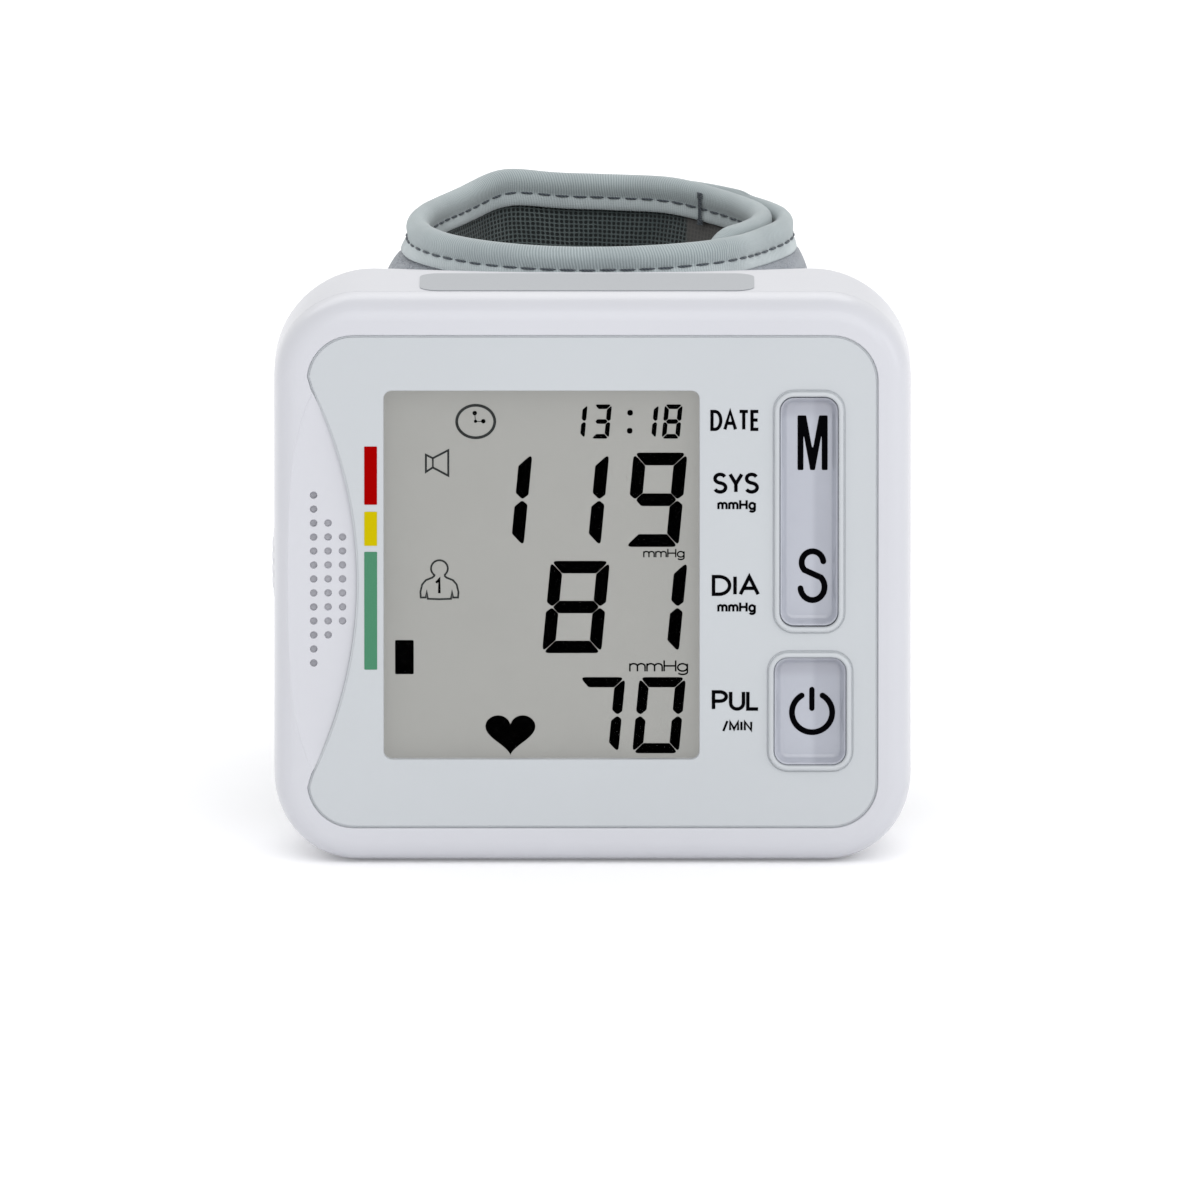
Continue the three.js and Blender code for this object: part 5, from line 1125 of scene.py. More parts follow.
def makeDisplayCell(box):
    # the glass between its two polarisers, each with a small bevel
    low, high = box
    x, z = (low[0] + high[0]) / 2, (low[2] + high[2]) / 2
    width, height = high[0] - low[0], high[2] - low[2]
    shape, front, bevel = Shape(), low[1] + halfDepth, display["bevel"]
    for start, end, inset in display["layers"]:
        first, last = front + start, front + end
        shape.skin(stacked(lambda grow: roundRect(x, z, width - grow * 2, height - grow * 2, 0.3, 3), (
            (first, inset + bevel), (first + bevel, inset), (last - bevel, inset), (last, inset + bevel))))
    attach(shape.make("displayCell", "display", 30), "monitor", "display_glass", "lcd_glass")


def makeDisplay():
    box = [[c / mm for c in corner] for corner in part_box("lcd_glass")]
    makeDisplayCell(box)
    depth = box[0][1] + halfDepth - plate["ahead"]
    digits = Shape()
    for digit, place, thickness in display["digits"]:
        addDigit(digits, digit, place, thickness, depth)
    addDots(digits, display["colon"], depth)
    addBar(digits, display["marker"], 0.16, depth)
    heart = []
    px, py, half, tall = display["heart"]
    for i in range(48):
        turn = 2 * math.pi * i / 48
        u = math.sin(turn) ** 3
        v = (13 * math.cos(turn) - 5 * math.cos(2 * turn) - 2 * math.cos(3 * turn) - math.cos(4 * turn) + 17) / 29
        heart.append(onFace(px + half * u, py - tall * v, depth))
    addPlate(digits, heart[::-1], depth)
    addDots(digits, display["clockDots"], depth)
    makePrint(digits, "displayDigits", "segment", slot="black_plastic")
    icons = Shape()
    for points, width, roundEnds in display["icons"]:
        addStroke(icons, [onFace(px, py, depth) for px, py in points], width, depth, roundEnds)
    makePrint(icons, "displayIcons", "icon", slot="black_plastic")
    words = Shape()
    addWords(words, display["units"], depth)
    makePrint(words, "displayUnits", "segment", slot="black_plastic")


def makeSticker():
    # blank rating sticker on the top of the case
    look = {"x": -0.7, "width": 42.0, "fromDepth": 5.6, "toDepth": 17.8, "radius": 2.6, "thickness": 0.07}
    outline = roundRect(look["x"], (look["fromDepth"] + look["toDepth"]) / 2 - halfDepth, look["width"],
                        look["toDepth"] - look["fromDepth"], look["radius"], 10)
    rings = [[(x, y, case["height"] + lift) for x, y in outline] for lift in (0.005, look["thickness"])]
    attach(Shape().skin(rings).make("topSticker", "sticker", 30), "monitor")


print("print and display")
makePanelPrint()
makeKeyMarks()
makeDisplay()
makeSticker()


# Cuff: everything is set out on one rolled band, by the way along it, the height and the lift off its middle

cuff = {
    "radiusX": 22.0, "radiusY": 25.4, "centreY": 44.35, "egg": 0.1, "height": 73.0,
    "cornerAngle": 118.0, "cornerLift": 3.1, "cornerSpread": 0.08,
    "start": -60.0, "end": 312.0, "clear": 0.95, "rampStart": 4.7, "rampEnd": 11.0, "padEdge": 8.0,
    # spans are angles: the tucked end lies in and sinks, and the pad thins towards both its ends
    "tuck": 3.4, "tuckSpan": (15, -35), "endSink": 0.13, "sinkSpan": (-27, -60),
    "thin": ((0.7, (-15, -47)), (0.5, (285, 312))),
    "crests": ((118.0, 1.0, 12.0), (60.0, 0.48, 16.0), (90.0, 0.26, 20.0)), "tailCrest": 0.15,
    "flares": ((1.3, 183), (0.7, 358)), "flareSpread": 0.12, "flareSplit": 300, "flareRim": (2.0, 5.5),
    "outerRim": 0.6, "outerBody": 3.1, "innerRim": 0.1, "innerBody": 1.8,
    "liningRim": 0.6, "liningBody": 1.6, "liningThickness": 0.4,
    "tape": 4.4, "tapeHalf": 1.45, "tapeCore": 0.64, "stitchAt": 2.8, "cornerRadius": 4.0,
    # size of the tape's unevenness, how fast it changes along and across, and its seed
    "uneven": ((0.07, 0.35, 0.4, 5.0), (0.2, 0.09, 0.12, 15.0)),
    # the upper edge runs on into the tail from this angle; the tail lies outside the band past tailSide
    "edgeTurn": 288, "tailSide": 270,
}
tail = {
    "start": 304.0, "split": 350.0, "end": 470.0, "thickness": 1.6, "round": 9.0, "inset": 0.8,
    "tapeHalf": 1.06, "tapeCore": 0.8, "trim": 0.5, "trimSpan": (312, 338), "thinSpan": (308, 322),
    "clear": 0.3, "gap": (0.4, 364, 20), "step": (1.1, 390, 400.4), "leave": (1.5, 312, 342), "pucker": 0.22,
}
midHeight = cuff["height"] / 2


def loopPoint(angle, lift):
    turn = math.radians(angle)
    sine, cosine = math.sin(turn), math.cos(turn)
    egg = 1 - cuff["egg"] * sine
    alongX = cuff["radiusX"] * (-sine * egg - cuff["egg"] * cosine * cosine)
    alongY = cuff["radiusY"] * cosine
    size = math.hypot(alongX, alongY)
    away = 1 - math.cos(math.radians(angle - cuff["cornerAngle"]))
    lift += cuff["cornerLift"] * math.exp(-away / cuff["cornerSpread"])
    return (cuff["radiusX"] * cosine * egg + alongY / size * lift,
            cuff["centreY"] + cuff["radiusY"] * sine - alongX / size * lift)


# The way along the band, in millimetres, at every half degree from the first angle
wayStart, wayStep = -90, 0.5
wayTable = runsAlong([loopPoint(wayStart + i * wayStep, 0) for i in range(1181)])


def wayAt(angle):
    place = (angle - wayStart) / wayStep
    i = min(int(place), len(wayTable) - 2)
    return wayTable[i] + (wayTable[i + 1] - wayTable[i]) * (place - i)


def angleAt(way):
    i = min(max(bisect.bisect_right(wayTable, way) - 1, 0), len(wayTable) - 2)
    share = (way - wayTable[i]) / (wayTable[i + 1] - wayTable[i])
    return wayStart + (i + share) * wayStep


def tuckAt(angle):
    return -cuff["tuck"] * easing(angle, *cuff["tuckSpan"])


def fullness(angle):
    return min(1 - share * easing(angle, *span) for share, span in cuff["thin"])


def rimDistance(height):
    return min(height, cuff["height"] - height)


def pillow(height):
    # 0 at the bound rims, 1 in the padded middle
    share = (rimDistance(height) - cuff["rampStart"]) / (cuff["rampEnd"] - cuff["rampStart"])
    return math.sin(math.pi / 2 * clamp(share))


def edgeMiddle(angle, height):
    # the bound edge runs on into the edge of the tail
    turned = easing(angle, cuff["edgeTurn"], cuff["end"])
    return tuckAt(angle) + (tailMiddle(cuff["end"], 0) - tuckAt(cuff["end"])) * turned


def bandMiddle(angle, height):
    # the pad keeps to the middle of its bound edge near the rims
    turned = 1 - easing(rimDistance(height), cuff["tape"], cuff["padEdge"])
    return tuckAt(angle) + (edgeMiddle(angle, height) - tuckAt(angle)) * turned


def edgeHalf(angle):
    turned = easing(angle, cuff["edgeTurn"], cuff["end"])
    return cuff["tapeHalf"] + (tail["tapeHalf"] - cuff["tapeHalf"]) * turned


def tailHalf(angle):
    return tail["tapeHalf"]


def tailInner(angle, level):
    # the face of the tail that lies on the band: it clears the tape, and steps out over the hook patch
    under = angle - 360
    body = cuff["outerRim"] + (cuff["outerBody"] - cuff["outerRim"]) * fullness(under)
    room = max(body - cuff["tapeHalf"], 0.0)
    (slack, middle, width), (step, *stepSpan), (leave, *leaveSpan) = tail["gap"], tail["step"], tail["leave"]
    gap = slack * math.exp(-((angle - middle) / width) ** 2)
    return (tuckAt(under) + tail["clear"] + gap + cuff["tapeHalf"] + room * level
            + step * easing(angle, *stepSpan) + leave * (1 - easing(angle, *leaveSpan)))


def tailMiddle(angle, height):
    return tailInner(angle, pillow(height)) + tail["thickness"] / 2 + flareAt(angle, height)


def flareAt(angle, height):
    # the padding swells out right below the tape at both sides
    near = easing(rimDistance(height), *cuff["flareRim"])
    left, right = [swell * math.exp(-(1 - math.cos(math.radians(angle - middle))) / cuff["flareSpread"])
                   for swell, middle in cuff["flares"]]
    return near * (left + (right if angle > cuff["flareSplit"] else 0.0))


def onBand(angle, height, lift):
    # the upper edge rises a little at the soft corner, and the tucked end sinks out of sight
    x, y = loopPoint(angle, lift)
    turned = angle % 360
    crest = sum(rise * math.exp(-((turned - place) / width) ** 2) for place, rise, width in cuff["crests"])
    crest *= cuff["tailCrest"] if angle > 360 else 1.0
    sunk = 1 - cuff["endSink"] * easing(angle, *cuff["sinkSpan"])
    return (x, y, midHeight + (height - midHeight) * sunk + crest * (height / cuff["height"]) ** 3)


heights = spread(cuff["clear"], cuff["tape"], 0.9) + spread(cuff["rampStart"], cuff["rampEnd"] + 1, 0.7)
heights += spread(cuff["rampEnd"] + 3, midHeight, 3.0)
heights += [cuff["height"] - h for h in reversed(heights[:-1])]


def pucker(way, height, seed):
    # gathers that run in from a bound edge and die out across the pad, with slow hollows in its middle
    near = rimDistance(height)
    side = 0.0 if height < midHeight else 37.0
    fade = easing(near, cuff["tape"] - 0.2, cuff["tape"] + 1.6) * (1 - easing(near, 7, 21))
    ridge = noise.noise(Vector((way * 0.31, near * 0.045 + side, seed)))
    finer = noise.noise(Vector((way * 0.75, near * 0.1 + side, seed + 9)))
    slow = noise.noise(Vector((way * 0.045, height * 0.035, seed + 20)))
    middle = easing(near, 6, 16)
    return clamp(fade * (0.5 + ridge * 0.9 + finer * 0.35)) + middle * (0.5 + slow) * 0.6


def bandLength(start, end, liftAt):
    # along the middle of a cloth, in millimetres
    points = [loopPoint(angle, liftAt(angle)) for angle in spread(start, end, 1.0)]
    return sum(math.dist(a, b) for a, b in zip(points, points[1:]))


def bandFace(angles, rows, liftAt):
    # one face of a cloth: a row of heights at each angle, lifted off the band's middle
    return [[onBand(angle, h, liftAt(angle, h)) for h in row] for angle, row in zip(angles, rows)]


def makeCloth(name, finish, outer, inner, along, levels, sharp=50):
    # a closed sheet between its two faces, with places for the weave
    girth = 2 * cuff["height"]
    across = levels + [girth - h for h in reversed(levels)] + [girth + levels[0]]
    rings = [a + b[::-1] for a, b in zip(outer, inner)]
    return Shape().skin(rings, along=along, across=across).make(name, finish, sharp)


billowLook = {"scale": 0.05, "frames": 22, "spare": 0.022, "pressure": 2.2}
billowSettings = {
    "quality": 7, "mass": 0.3, "tension_stiffness": 20, "compression_stiffness": 20, "shear_stiffness": 6,
    "bending_stiffness": 0.35, "air_damping": 3, "shrink_min": -billowLook["spare"],
    "shrink_max": -billowLook["spare"], "vertex_group_mass": "sewn", "use_pressure": True,
    "uniform_pressure_force": billowLook["pressure"],
}


def billow(rows, sewn, cap):
    # lets the cloth between its sewn edges fill and gather; the solver sees it fifty times its size
    scale, frames = billowLook["scale"], billowLook["frames"]
    width = len(rows[0])
    corners = [r * width + i for r in range(len(rows) - 1) for i in range(width - 1)]
    mesh = bpy.data.meshes.new("billow")
    mesh.from_pydata([[c * scale for c in point] for row in rows for point in row], [],
                     [[k, k + width, k + width + 1, k + 1] for k in corners])
    piece = bpy.data.objects.new("billow", mesh)
    bpy.context.collection.objects.link(piece)
    held = piece.vertex_groups.new(name="sewn")
    held.add([r * width + i for r in range(len(rows)) for i in range(width) if sewn(r, i)], 1.0, "REPLACE")
    step = piece.modifiers.new("billow", "CLOTH")
    for key, value in billowSettings.items():
        setattr(step.settings, key, value)
    step.settings.effector_weights.gravity = 0
    step.collision_settings.use_collision = False
    step.point_cache.frame_start, step.point_cache.frame_end = 1, frames
    scene = bpy.context.scene
    for frameNumber in range(1, frames + 1):
        scene.frame_set(frameNumber)
    moved = piece.evaluated_get(bpy.context.evaluated_depsgraph_get()).data.vertices
    result, most = [], 0.0
    for r, row in enumerate(rows):
        line = []
        for i, point in enumerate(row):
            shift = moved[r * width + i].co / scale - Vector(point)
            most = max(most, shift.length)
            if shift.length > 1e-9:
                shift *= cap * math.tanh(shift.length / cap) / shift.length
            line.append(tuple(Vector(point) + shift))
        result.append(line)
    bpy.data.objects.remove(piece)
    scene.frame_set(1)
    print(f"cloth settled, moved {most:.2f} mm at most before the cap")
    return result


def makeCover():
    look = {"step": 2.4, "pucker": 0.34, "heldRows": (3, 7), "heldRim": 5.2, "travel": 0.6}
    angles = spread(cuff["start"], cuff["end"], look["step"])
    rows = [heights] * len(angles)

    def outerLift(angle, h):
        level = pillow(h) * fullness(angle)
        dip = look["pucker"] * pucker(wayAt(angle), h, 3.0) * min(level * 1.6, 1.0)
        swell = flareAt(angle, h) if angle < cuff["tailSide"] else 0.0
        return (bandMiddle(angle, h) + cuff["outerRim"] + (cuff["outerBody"] - cuff["outerRim"]) * level
                - dip + swell)

    def innerLift(angle, h):
        level = pillow(h) * fullness(angle)
        return bandMiddle(angle, h) + cuff["innerRim"] + (cuff["innerBody"] - cuff["innerRim"]) * level

    def sewn(row, i):
        first, last = look["heldRows"]
        return row < first or row >= len(angles) - last or rimDistance(heights[i]) < look["heldRim"]

    outer = billow(bandFace(angles, rows, outerLift), sewn, look["travel"])
    piece = makeCloth("cuffCover", "loop", outer, bandFace(angles, rows, innerLift),
                      [wayAt(angle) for angle in angles], heights)
    ring = circle(nozzle["x"], nozzle["z"], nozzle["hole"], 24)
    carve(piece, [Shape().skin([[(x, y, z) for x, z in ring] for y in (13.0, 21.0)]).make("tool")])
    soften(piece, 50)
    attach(piece, "monitor", "cuff_cloth", "cuff_cover")


def makeLining():
    look = {"step": 1.5, "pucker": 0.3}
    angles = spread(cuff["start"], cuff["end"], look["step"])
    rows = [heights] * len(angles)

    def innerLift(angle, h):
        level = pillow(h) * (0.3 + 0.7 * fullness(angle))
        dip = look["pucker"] * pucker(wayAt(angle), h, 41.0) * min(level * 1.5, 1.0)
        rim = cuff["liningRim"] * edgeHalf(angle) / cuff["tapeHalf"]
        return bandMiddle(angle, h) - rim - (cuff["liningBody"] - cuff["liningRim"]) * level + dip

    outer = bandFace(angles, rows, lambda angle, h: innerLift(angle, h) + cuff["liningThickness"])
    piece = makeCloth("cuffLining", "mesh", outer, bandFace(angles, rows, innerLift),
                      [wayAt(angle) for angle in angles], heights)
    return attach(piece, "monitor", "mesh_cloth", "cuff_lining")


# Bound edges: a tape folded over the edge of the band or of the tail

def tapeSection(half, core):
    # (in from the edge, lift) round a folded tape with a stitched pinch
    edge, seam = cuff["tape"], cuff["stitchAt"]
    side = [(edge, core), (edge, half * 0.8), (edge - 0.14, half * 0.875), (edge - 0.7, half * 0.9),
            (seam + 0.3, half * 0.84), (seam, half * 0.79), (seam - 0.3, half * 0.84), (2.1, half * 0.95),
            (half, half)]
    turns = [math.pi * i / 12 for i in range(1, 12)]
    fold = [(half - half * math.sin(turn), half * math.cos(turn)) for turn in turns]
    return side + fold + [(a, -lift) for a, lift in reversed(side)] + [(0.75, -core), (0.75, core)]


def outlinePath(startWay, endWay, low, high, radius, roundStart, marks=()):
    # the edge of a band from its square end round the other: way, height, direction inward, run so far
    path = []

    def line(a, b, inward):
        ways = sorted([m for m in marks if min(a[0], b[0]) < m < max(a[0], b[0])], reverse=b[0] < a[0])
        stops = [a] + [(way, a[1]) for way in ways if a[1] == b[1]] + [b]
        for c, d in zip(stops, stops[1:]):
            count = max(int(math.hypot(d[0] - c[0], d[1] - c[1]) / 1.1), 1)
            for i in range(count + (d == b)):
                path.append((c[0] + (d[0] - c[0]) * i / count, c[1] + (d[1] - c[1]) * i / count, inward))

    def turn(way, height, start, end):
        for outWay, outHeight in arcPoints(0, 0, 1, 1, start, end)[1:-1]:
            path.append((way + outWay * radius, height + outHeight * radius, (-outWay, -outHeight)))

    near, far, side = (endWay, startWay, -1) if roundStart else (startWay, endWay, 1)
    corner = far - side * radius
    line((near, low), (corner, low), (0, 1))
    turn(corner, low + radius, 270, 270 + side * 90)
    line((far, low + radius), (far, high - radius), (-side, 0))
    turn(corner, high - radius, 90 - side * 90, 90)
    line((corner, high), (near, high), (0, -1))
    return [(*point, run) for point, run in zip(path, runsAlong(path))]


def sweepTape(name, path, middle, halfAt, core):
    # the folded tape along a path; middle gives the lift of what it binds
    section = tapeSection(cuff["tapeHalf"], core)
    girth = runsAlong(section + section[:1])
    rings, along = [], []
    for way, height, (inWay, inHeight), run in path:
        ring = []
        for a, lift in section:
            w, h = way + inWay * a, height + inHeight * a
            angle = angleAt(w)
            breath = sum(size * noise.noise(Vector((run * ahead, a * aside, seed)))
                         for size, ahead, aside, seed in cuff["uneven"])
            lift *= halfAt(angle) / cuff["tapeHalf"]
            if lift > 0 and angle < cuff["tailSide"]:
                lift += flareAt(angle, h)
            ring.append(onBand(angle, h, middle(angle, h) + lift + (breath if lift > 0 else -breath)))
        rings.append(ring)
        along.append(run)
    return Shape().skin(rings, along=along, across=girth).make(name, "tape", 60)


def addThread(shape, points, radius, sides=6):
    # a round thread along points, with pinched ends
    rings = []
    count = len(points)
    for i, point in enumerate(points):
        here = Vector(point)
        ahead = Vector(points[min(i + 1, count - 1)]) - Vector(points[max(i - 1, 0)])
        ahead.normalize()
        up = Vector((0, 0, 1)) if abs(ahead.z) < 0.9 else Vector((1, 0, 0))
        side = ahead.cross(up).normalized()
        over = side.cross(ahead)
        size = radius * (0.35 if i in (0, count - 1) else 1.0)
        turns = [2 * math.pi * k / sides for k in range(sides)]
        rings.append([here + (side * math.cos(turn) + over * math.sin(turn)) * size for turn in turns])
    shape.skin(rings)


stitch = {"share": 0.82, "lead": 0.08, "pitch": 2.42, "radius": 0.16, "seat": 0.77, "rise": 0.15,
          "wander": (0.1, 0.06)}
bartack = {"angle": 44.0, "below": 0.8, "pitch": 0.26, "rows": 16, "wide": 1.5, "narrow": 0.9, "radius": 0.13}


def addStitches(shape, path, middle, halfAt):
    # dashes on both faces along a path, set in from the edge
    inset, (wanderAlong, wanderUp) = cuff["stitchAt"], stitch["wander"]
    line = [(way + inWay * inset, height + inHeight * inset) for way, height, (inWay, inHeight), run in path]
    runs = runsAlong(line)

    def at(run):
        for i in range(len(runs) - 1):
            if runs[i + 1] >= run and runs[i + 1] > runs[i]:
                share = (run - runs[i]) / (runs[i + 1] - runs[i])
                return [a + (b - a) * share for a, b in zip(line[i], line[i + 1])]
        return line[-1]

    count = max(round(runs[-1] / stitch["pitch"]), 1)
    pitch = runs[-1] / count
    for n in range(count):
        start = (n + stitch["lead"]) * pitch
        wobble = noise.noise(Vector((n * 1.7, 2.0, 8.0)))
        for face in (1, -1):
            points = []
            for i in range(6):
                share = i / 5
                way, height = at(start + pitch * stitch["share"] * share + wobble * wanderAlong)
                angle = angleAt(way)
                rise = halfAt(angle) * stitch["seat"] + stitch["rise"] * math.sin(math.pi * share) ** 0.6
                if face > 0 and angle < cuff["tailSide"]:
                    rise += flareAt(angle, height)
                points.append(onBand(angle, height + wobble * wanderUp, middle(angle, height) + face * rise))
            addThread(shape, points, stitch["radius"])


def addBartack(shape):
    # across the inner face of the rear wall, wider at its top and bottom
    angle = bartack["angle"]
    lift = tuckAt(angle) - cuff["tapeHalf"] - 0.02
    for i in range(bartack["rows"]):
        height = cuff["height"] - bartack["below"] - i * bartack["pitch"]
        wide = bartack["wide"] if i < 3 or i > 12 else bartack["narrow"]
        points = [onBand(angle + (k / 2 - 1) * wide, height + 0.04 * ((k % 2) * 2 - 1),
                         lift - 0.08 * math.sin(math.pi * k / 4)) for k in range(5)]
        addThread(shape, points, bartack["radius"], 5)


def makeBindings():
    path = outlinePath(wayAt(cuff["start"]), wayAt(cuff["end"]), 0.0, cuff["height"], cuff["cornerRadius"], True)
    tape = sweepTape("cuffBinding", path, edgeMiddle, edgeHalf, cuff["tapeCore"])
    attach(tape, "monitor", "tape_cloth", "cuff_binding_top", "cuff_binding_bottom")
    shape = Shape()
    addStitches(shape, path, edgeMiddle, edgeHalf)
    addBartack(shape)
    return tape, attach(shape.make("cuffStitching", "thread", 60), "monitor")


# Tail: the loose end of the band, which wraps round the outside and holds with its hooks

tailLow, tailHigh = [corner[2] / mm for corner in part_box("cuff_tail_end")]
tailFirst, tailLast = wayAt(tail["start"]), wayAt(tail["end"])


def roundedEnd(radius, over):
    # how far a rounded end draws in its sides, at a way past the start of the round
    return radius - math.sqrt(max(radius ** 2 - max(over, 0.0) ** 2, 0.0))


def tailRim(height):
    return min(height - tailLow, tailHigh - height)


def tailLevels(way):
    # heights of one row across the tail, which rounds off at its end
    edge = roundedEnd(tail["round"], way - (tailLast - tail["round"]))
    low, high = tailLow + tail["inset"] + edge, tailHigh - tail["inset"] - edge
    scale = (high - low) / (heights[-1] - heights[0])
    return [low + (h - heights[0]) * scale for h in heights]


def tailFaces(ways):
    # the outer and the inner face of the tail, row by row
    outer, inner = [], []
    for way in ways:
        angle = angleAt(way)
        thick = tail["thickness"] * (0.55 + 0.45 * easing(angle, *tail["thinSpan"]))
        thin = 0.75 + 0.25 * (1 - easing(way, tailLast - tail["round"], tailLast))
        outer.append([])
        inner.append([])
        for h in tailLevels(way):
            rim = 1 - easing(tailRim(h), cuff["tape"], cuff["tape"] + 3)
            base = tailMiddle(angle, h)
            half = thick / 2 * (1 - 0.3 * rim) * thin
            dip = tail["pucker"] * pucker(way, min(max(h, 0.1), cuff["height"] - 0.1), 71.0) * (1 - rim)
            outer[-1].append(onBand(angle, h, base + half - dip))
            inner[-1].append(onBand(angle, h, base - half))
    return outer, inner


def tailPath(split):
    # the edge of the tail, drawn in where it leaves the band
    path = outlinePath(tailFirst, tailLast, tailLow, tailHigh, tail["round"], False, (wayAt(cuff["end"]), split))
    return [(way, height + (tail["trim"] if height > midHeight else -tail["trim"])
             * (1 - easing(angleAt(way), *tail["trimSpan"])), inward, run) for way, height, inward, run in path]


def makeTail():
    look = {"heldStart": 5, "heldEnd": 4.4, "heldRim": 5, "travel": 0.5, "hingeHeight": 0.036}
    split = wayAt(tail["split"])
    ways = spread(tailFirst, split, 1.0)[:-1] + spread(split, tailLast - tail["round"], 1.0)[:-1]
    ways += [tailLast - tail["round"] * (1 - math.sin(math.pi / 2 * i / 9)) for i in range(9)]
    ways += [tailLast - 0.5]

    def sewn(row, i):
        way = ways[row]
        return (way < tailFirst + look["heldStart"] or way > tailLast - look["heldEnd"]
                or tailRim(tailLevels(way)[i]) < look["heldRim"])

    outer, inner = tailFaces(ways)
    outer = billow(outer, sewn, look["travel"])
    middle = next(i for i, way in enumerate(ways) if abs(way - split) < 1e-6)
    path = tailPath(split)
    near = [p for p in path if wayAt(cuff["end"]) - 0.01 < p[0] < split + 0.01]
    far = [p for p in path if p[0] > split - 0.01]
    rootEdges = [(word, [p for p in near if (p[1] > midHeight) == upper])
                 for word, upper in (("Lower", False), ("Upper", True))]
    parts = (("Root", slice(0, middle + 1), "fold", "monitor", "cuff_tail_root", rootEdges),
             ("End", slice(middle, None), "straighten", "cuff_tail_root", "cuff_tail_end", (("", far),)))
    for word, share, joint, first, second, edges in parts:
        body = makeCloth("cuffTail" + word, "loop", outer[share], inner[share], ways[share], heights)
        threads = Shape()
        pieces = [body]
        for edge, line in edges:
            tape = sweepTape("cuffTailBinding" + word + edge, line, tailMiddle, tailHalf, tail["tapeCore"])
            pieces.append(tape)
            addStitches(threads, line, tailMiddle, tailHalf)
        pieces.append(threads.make("cuffTailStitching" + word, "thread", 60))
        for piece in pieces:
            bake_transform(piece)
        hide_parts("cuff_tail_" + word.lower())
        length = bandLength(angleAt(ways[share][0]), angleAt(ways[share][-1]),
                            lambda angle: tailMiddle(angle, midHeight))


def makeHookPatch():
    look = {"start": 402, "end": 462, "low": 14.0, "high": 59.0, "thickness": 0.8, "round": 4.0, "under": 1.1}
    ways = spread(wayAt(look["start"]), wayAt(look["end"]), 1.2)
    levels = spread(look["low"], look["high"], 3.0)
    tall = look["high"] - look["low"]
    angles, rows = [angleAt(way) for way in ways], []
    for way in ways:
        near = min(way - ways[0], ways[-1] - way)
        scale = (tall - roundedEnd(look["round"], look["round"] - near) * 2) / tall
        rows.append([midHeight + (h - midHeight) * scale for h in levels])
    inner, outer = [bandFace(angles, rows, lambda angle, h: tailInner(angle, 1.0) - look["under"] + lift)
                    for lift in (0.0, look["thickness"])]
    piece = makeCloth("cuffHookPatch", "hook", outer, inner, ways, levels, 40)
    attach(piece, "cuff_tail_end", "tape_cloth", "cuff_hook_patch")
    length = bandLength(look["start"], look["end"], lambda angle: tailInner(angle, 1.0) - 0.7)


def makeBladder():
    # two welded films, a little full between their flat edges
    look = {"low": 13.2, "high": 59.8, "start": 150.6, "end": 279.4, "lift": -0.27, "weld": 0.12, "fill": 0.5}
    levels = spread(look["low"], look["high"], 2.2)
    ways = spread(wayAt(look["start"]), wayAt(look["end"]), 1.6)
    faces = [[], []]
    for way in ways:
        angle = angleAt(way)
        ends = min(way - ways[0], ways[-1] - way)
        nears = [min(h - levels[0], levels[-1] - h, ends) for h in levels]
        full = [look["weld"] + look["fill"] * math.sin(math.pi / 2 * clamp((near - 2.5) / 6)) for near in nears]
        for face, side in zip(faces, (1, -1)):
            face.append([onBand(angle, h, look["lift"] + side * f) for h, f in zip(levels, full)])
    attach(makeCloth("cuffBladder", "clearRubber", *faces, None, levels, 40), "monitor", None, "cuff_bladder")


print("cuff")
makeCover()
lining = makeLining()
binding, stitching = makeBindings()
liningLength = bandLength(cuff["start"], cuff["end"], lambda angle: bandMiddle(angle, midHeight) - 1.2)
makeTail()
makeHookPatch()
makeBladder()


# Finishes of the carried-over parts, by the slot each was given

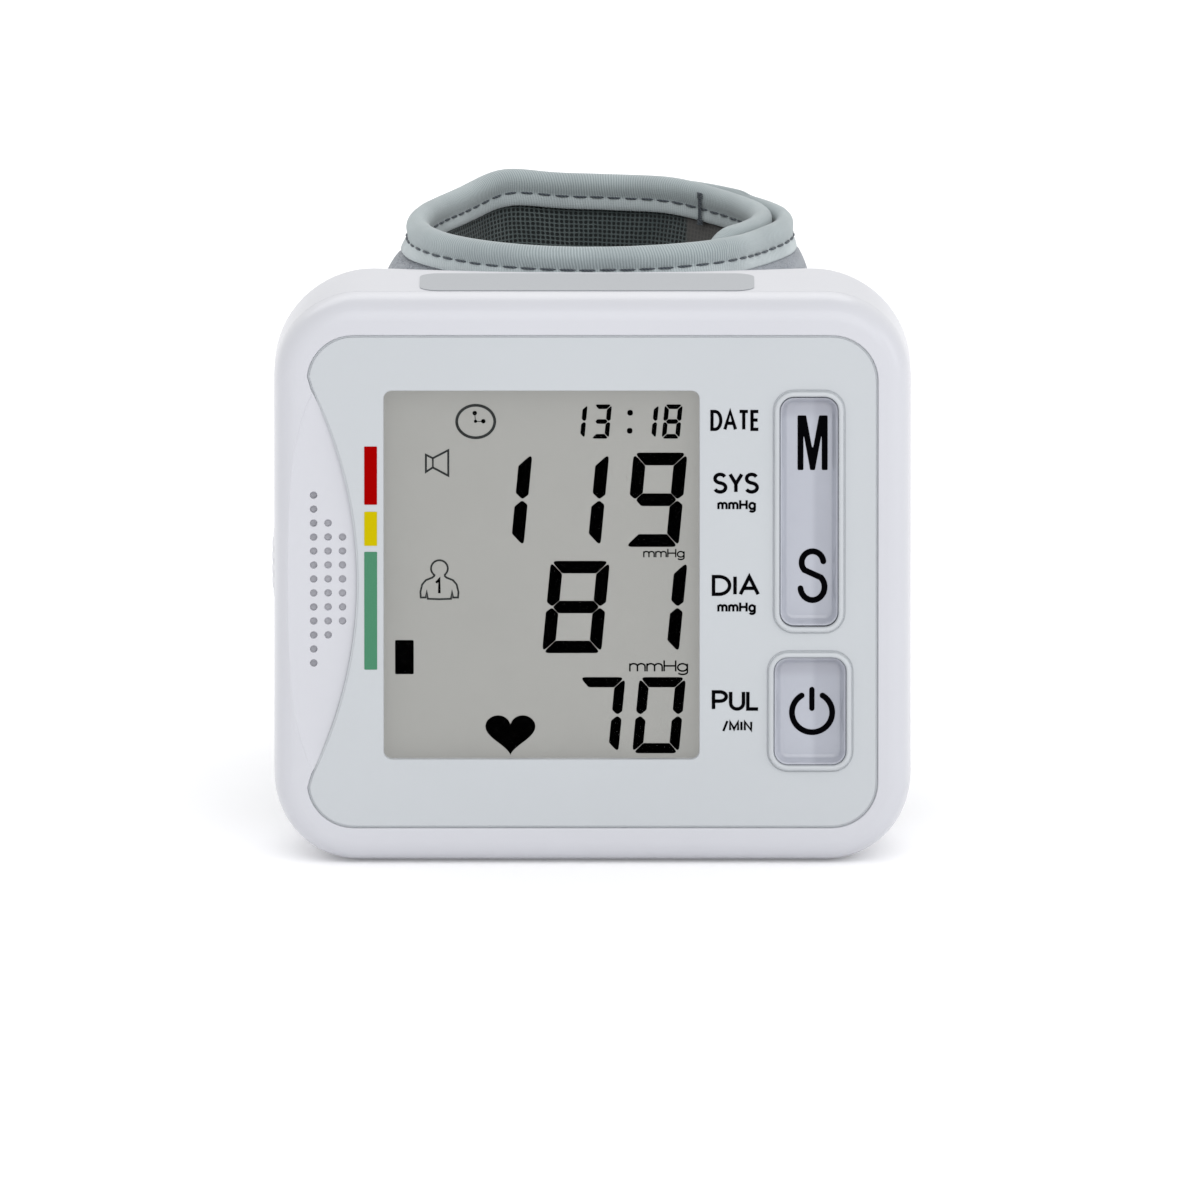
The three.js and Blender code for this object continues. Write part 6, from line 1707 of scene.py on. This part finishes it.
slotFinish = {
    "white_plastic": "white", "panel_plastic": "panel", "key_plastic": "key", "clear_plastic": "clear",
    "display_glass": "display", "inner_plastic": "inner", "black_plastic": "black", "board_green": "board",
    "plain_steel": "steel", "battery_jacket": "jacket", "dark_rubber": "darkRubber",
    "clear_rubber": "clearRubber", "mesh_cloth": "mesh", "cuff_cloth": "loop", "tape_cloth": "tape",
}
for piece in bpy.data.objects:
    if piece.get("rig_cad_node") and piece.type == "MESH":
        for holder in piece.material_slots:
            name = holder.material.name.split(".")[0] if holder.material else "inner_plastic"
            holder.material = finishes[slotFinish.get(name, "inner")]


# Floor, light and camera

# place, width, height and power of each soft light
softLights = {
    "topLight": ((0.3, -1.35, 1.0), 1.6, 1.5, 8.2), "rightLight": ((1.3, -0.5, 0.5), 0.8, 0.9, 2.5),
    "backLight": ((-0.2, 1.2, 0.9), 1.2, 0.7, 2.5),
}


def makeFloor():
    shape, far = Shape(), 3000
    shape.add([(-far, -far, 0), (far, -far, 0), (far, far, 0), (-far, far, 0)], [[0, 1, 2, 3]])
    shape.make("floor", "floor")


def makeWorld():
    world = bpy.data.worlds.new("studio")
    bpy.context.scene.world = world
    world.use_nodes = True
    background = world.node_tree.nodes["Background"].inputs
    background["Color"].default_value = (1.0, 1.0, 1.0, 1.0)
    background["Strength"].default_value = 1.0


def makeLight(name, place, width, height, power):
    light = bpy.data.lights.new(name, "AREA")
    light.shape = "RECTANGLE"
    light.size, light.size_y = width, height
    light.energy = power
    holder = bpy.data.objects.new(name, light)
    bpy.context.collection.objects.link(holder)
    holder.location = place
    holder.rotation_euler = (Vector((0, 0.02, 0.04)) - Vector(place)).to_track_quat("-Z", "Y").to_euler()


def makeCamera():
    look = {"lens": 1500.0, "distance": 6.29, "elevation": 10.5, "target": (0.00094, 0.0, 0.031245)}
    camera = bpy.data.objects.new("camera", bpy.data.cameras.new("camera"))
    bpy.context.collection.objects.link(camera)
    camera.data.lens = look["lens"]
    camera.data.sensor_width = 36.0
    camera.data.clip_end = 100.0
    rise = math.radians(look["elevation"])
    target = Vector(look["target"])
    camera.location = target + Vector((0, -math.cos(rise), math.sin(rise))) * look["distance"]
    camera.rotation_euler = (target - camera.location).to_track_quat("-Z", "Y").to_euler()
    bpy.context.scene.camera = camera


print("stage")
makeFloor()
makeWorld()
for name, values in softLights.items():
    makeLight(name, *values)
makeCamera()
settings = bpy.context.scene.view_settings
settings.view_transform = "Standard"
settings.look = "None"
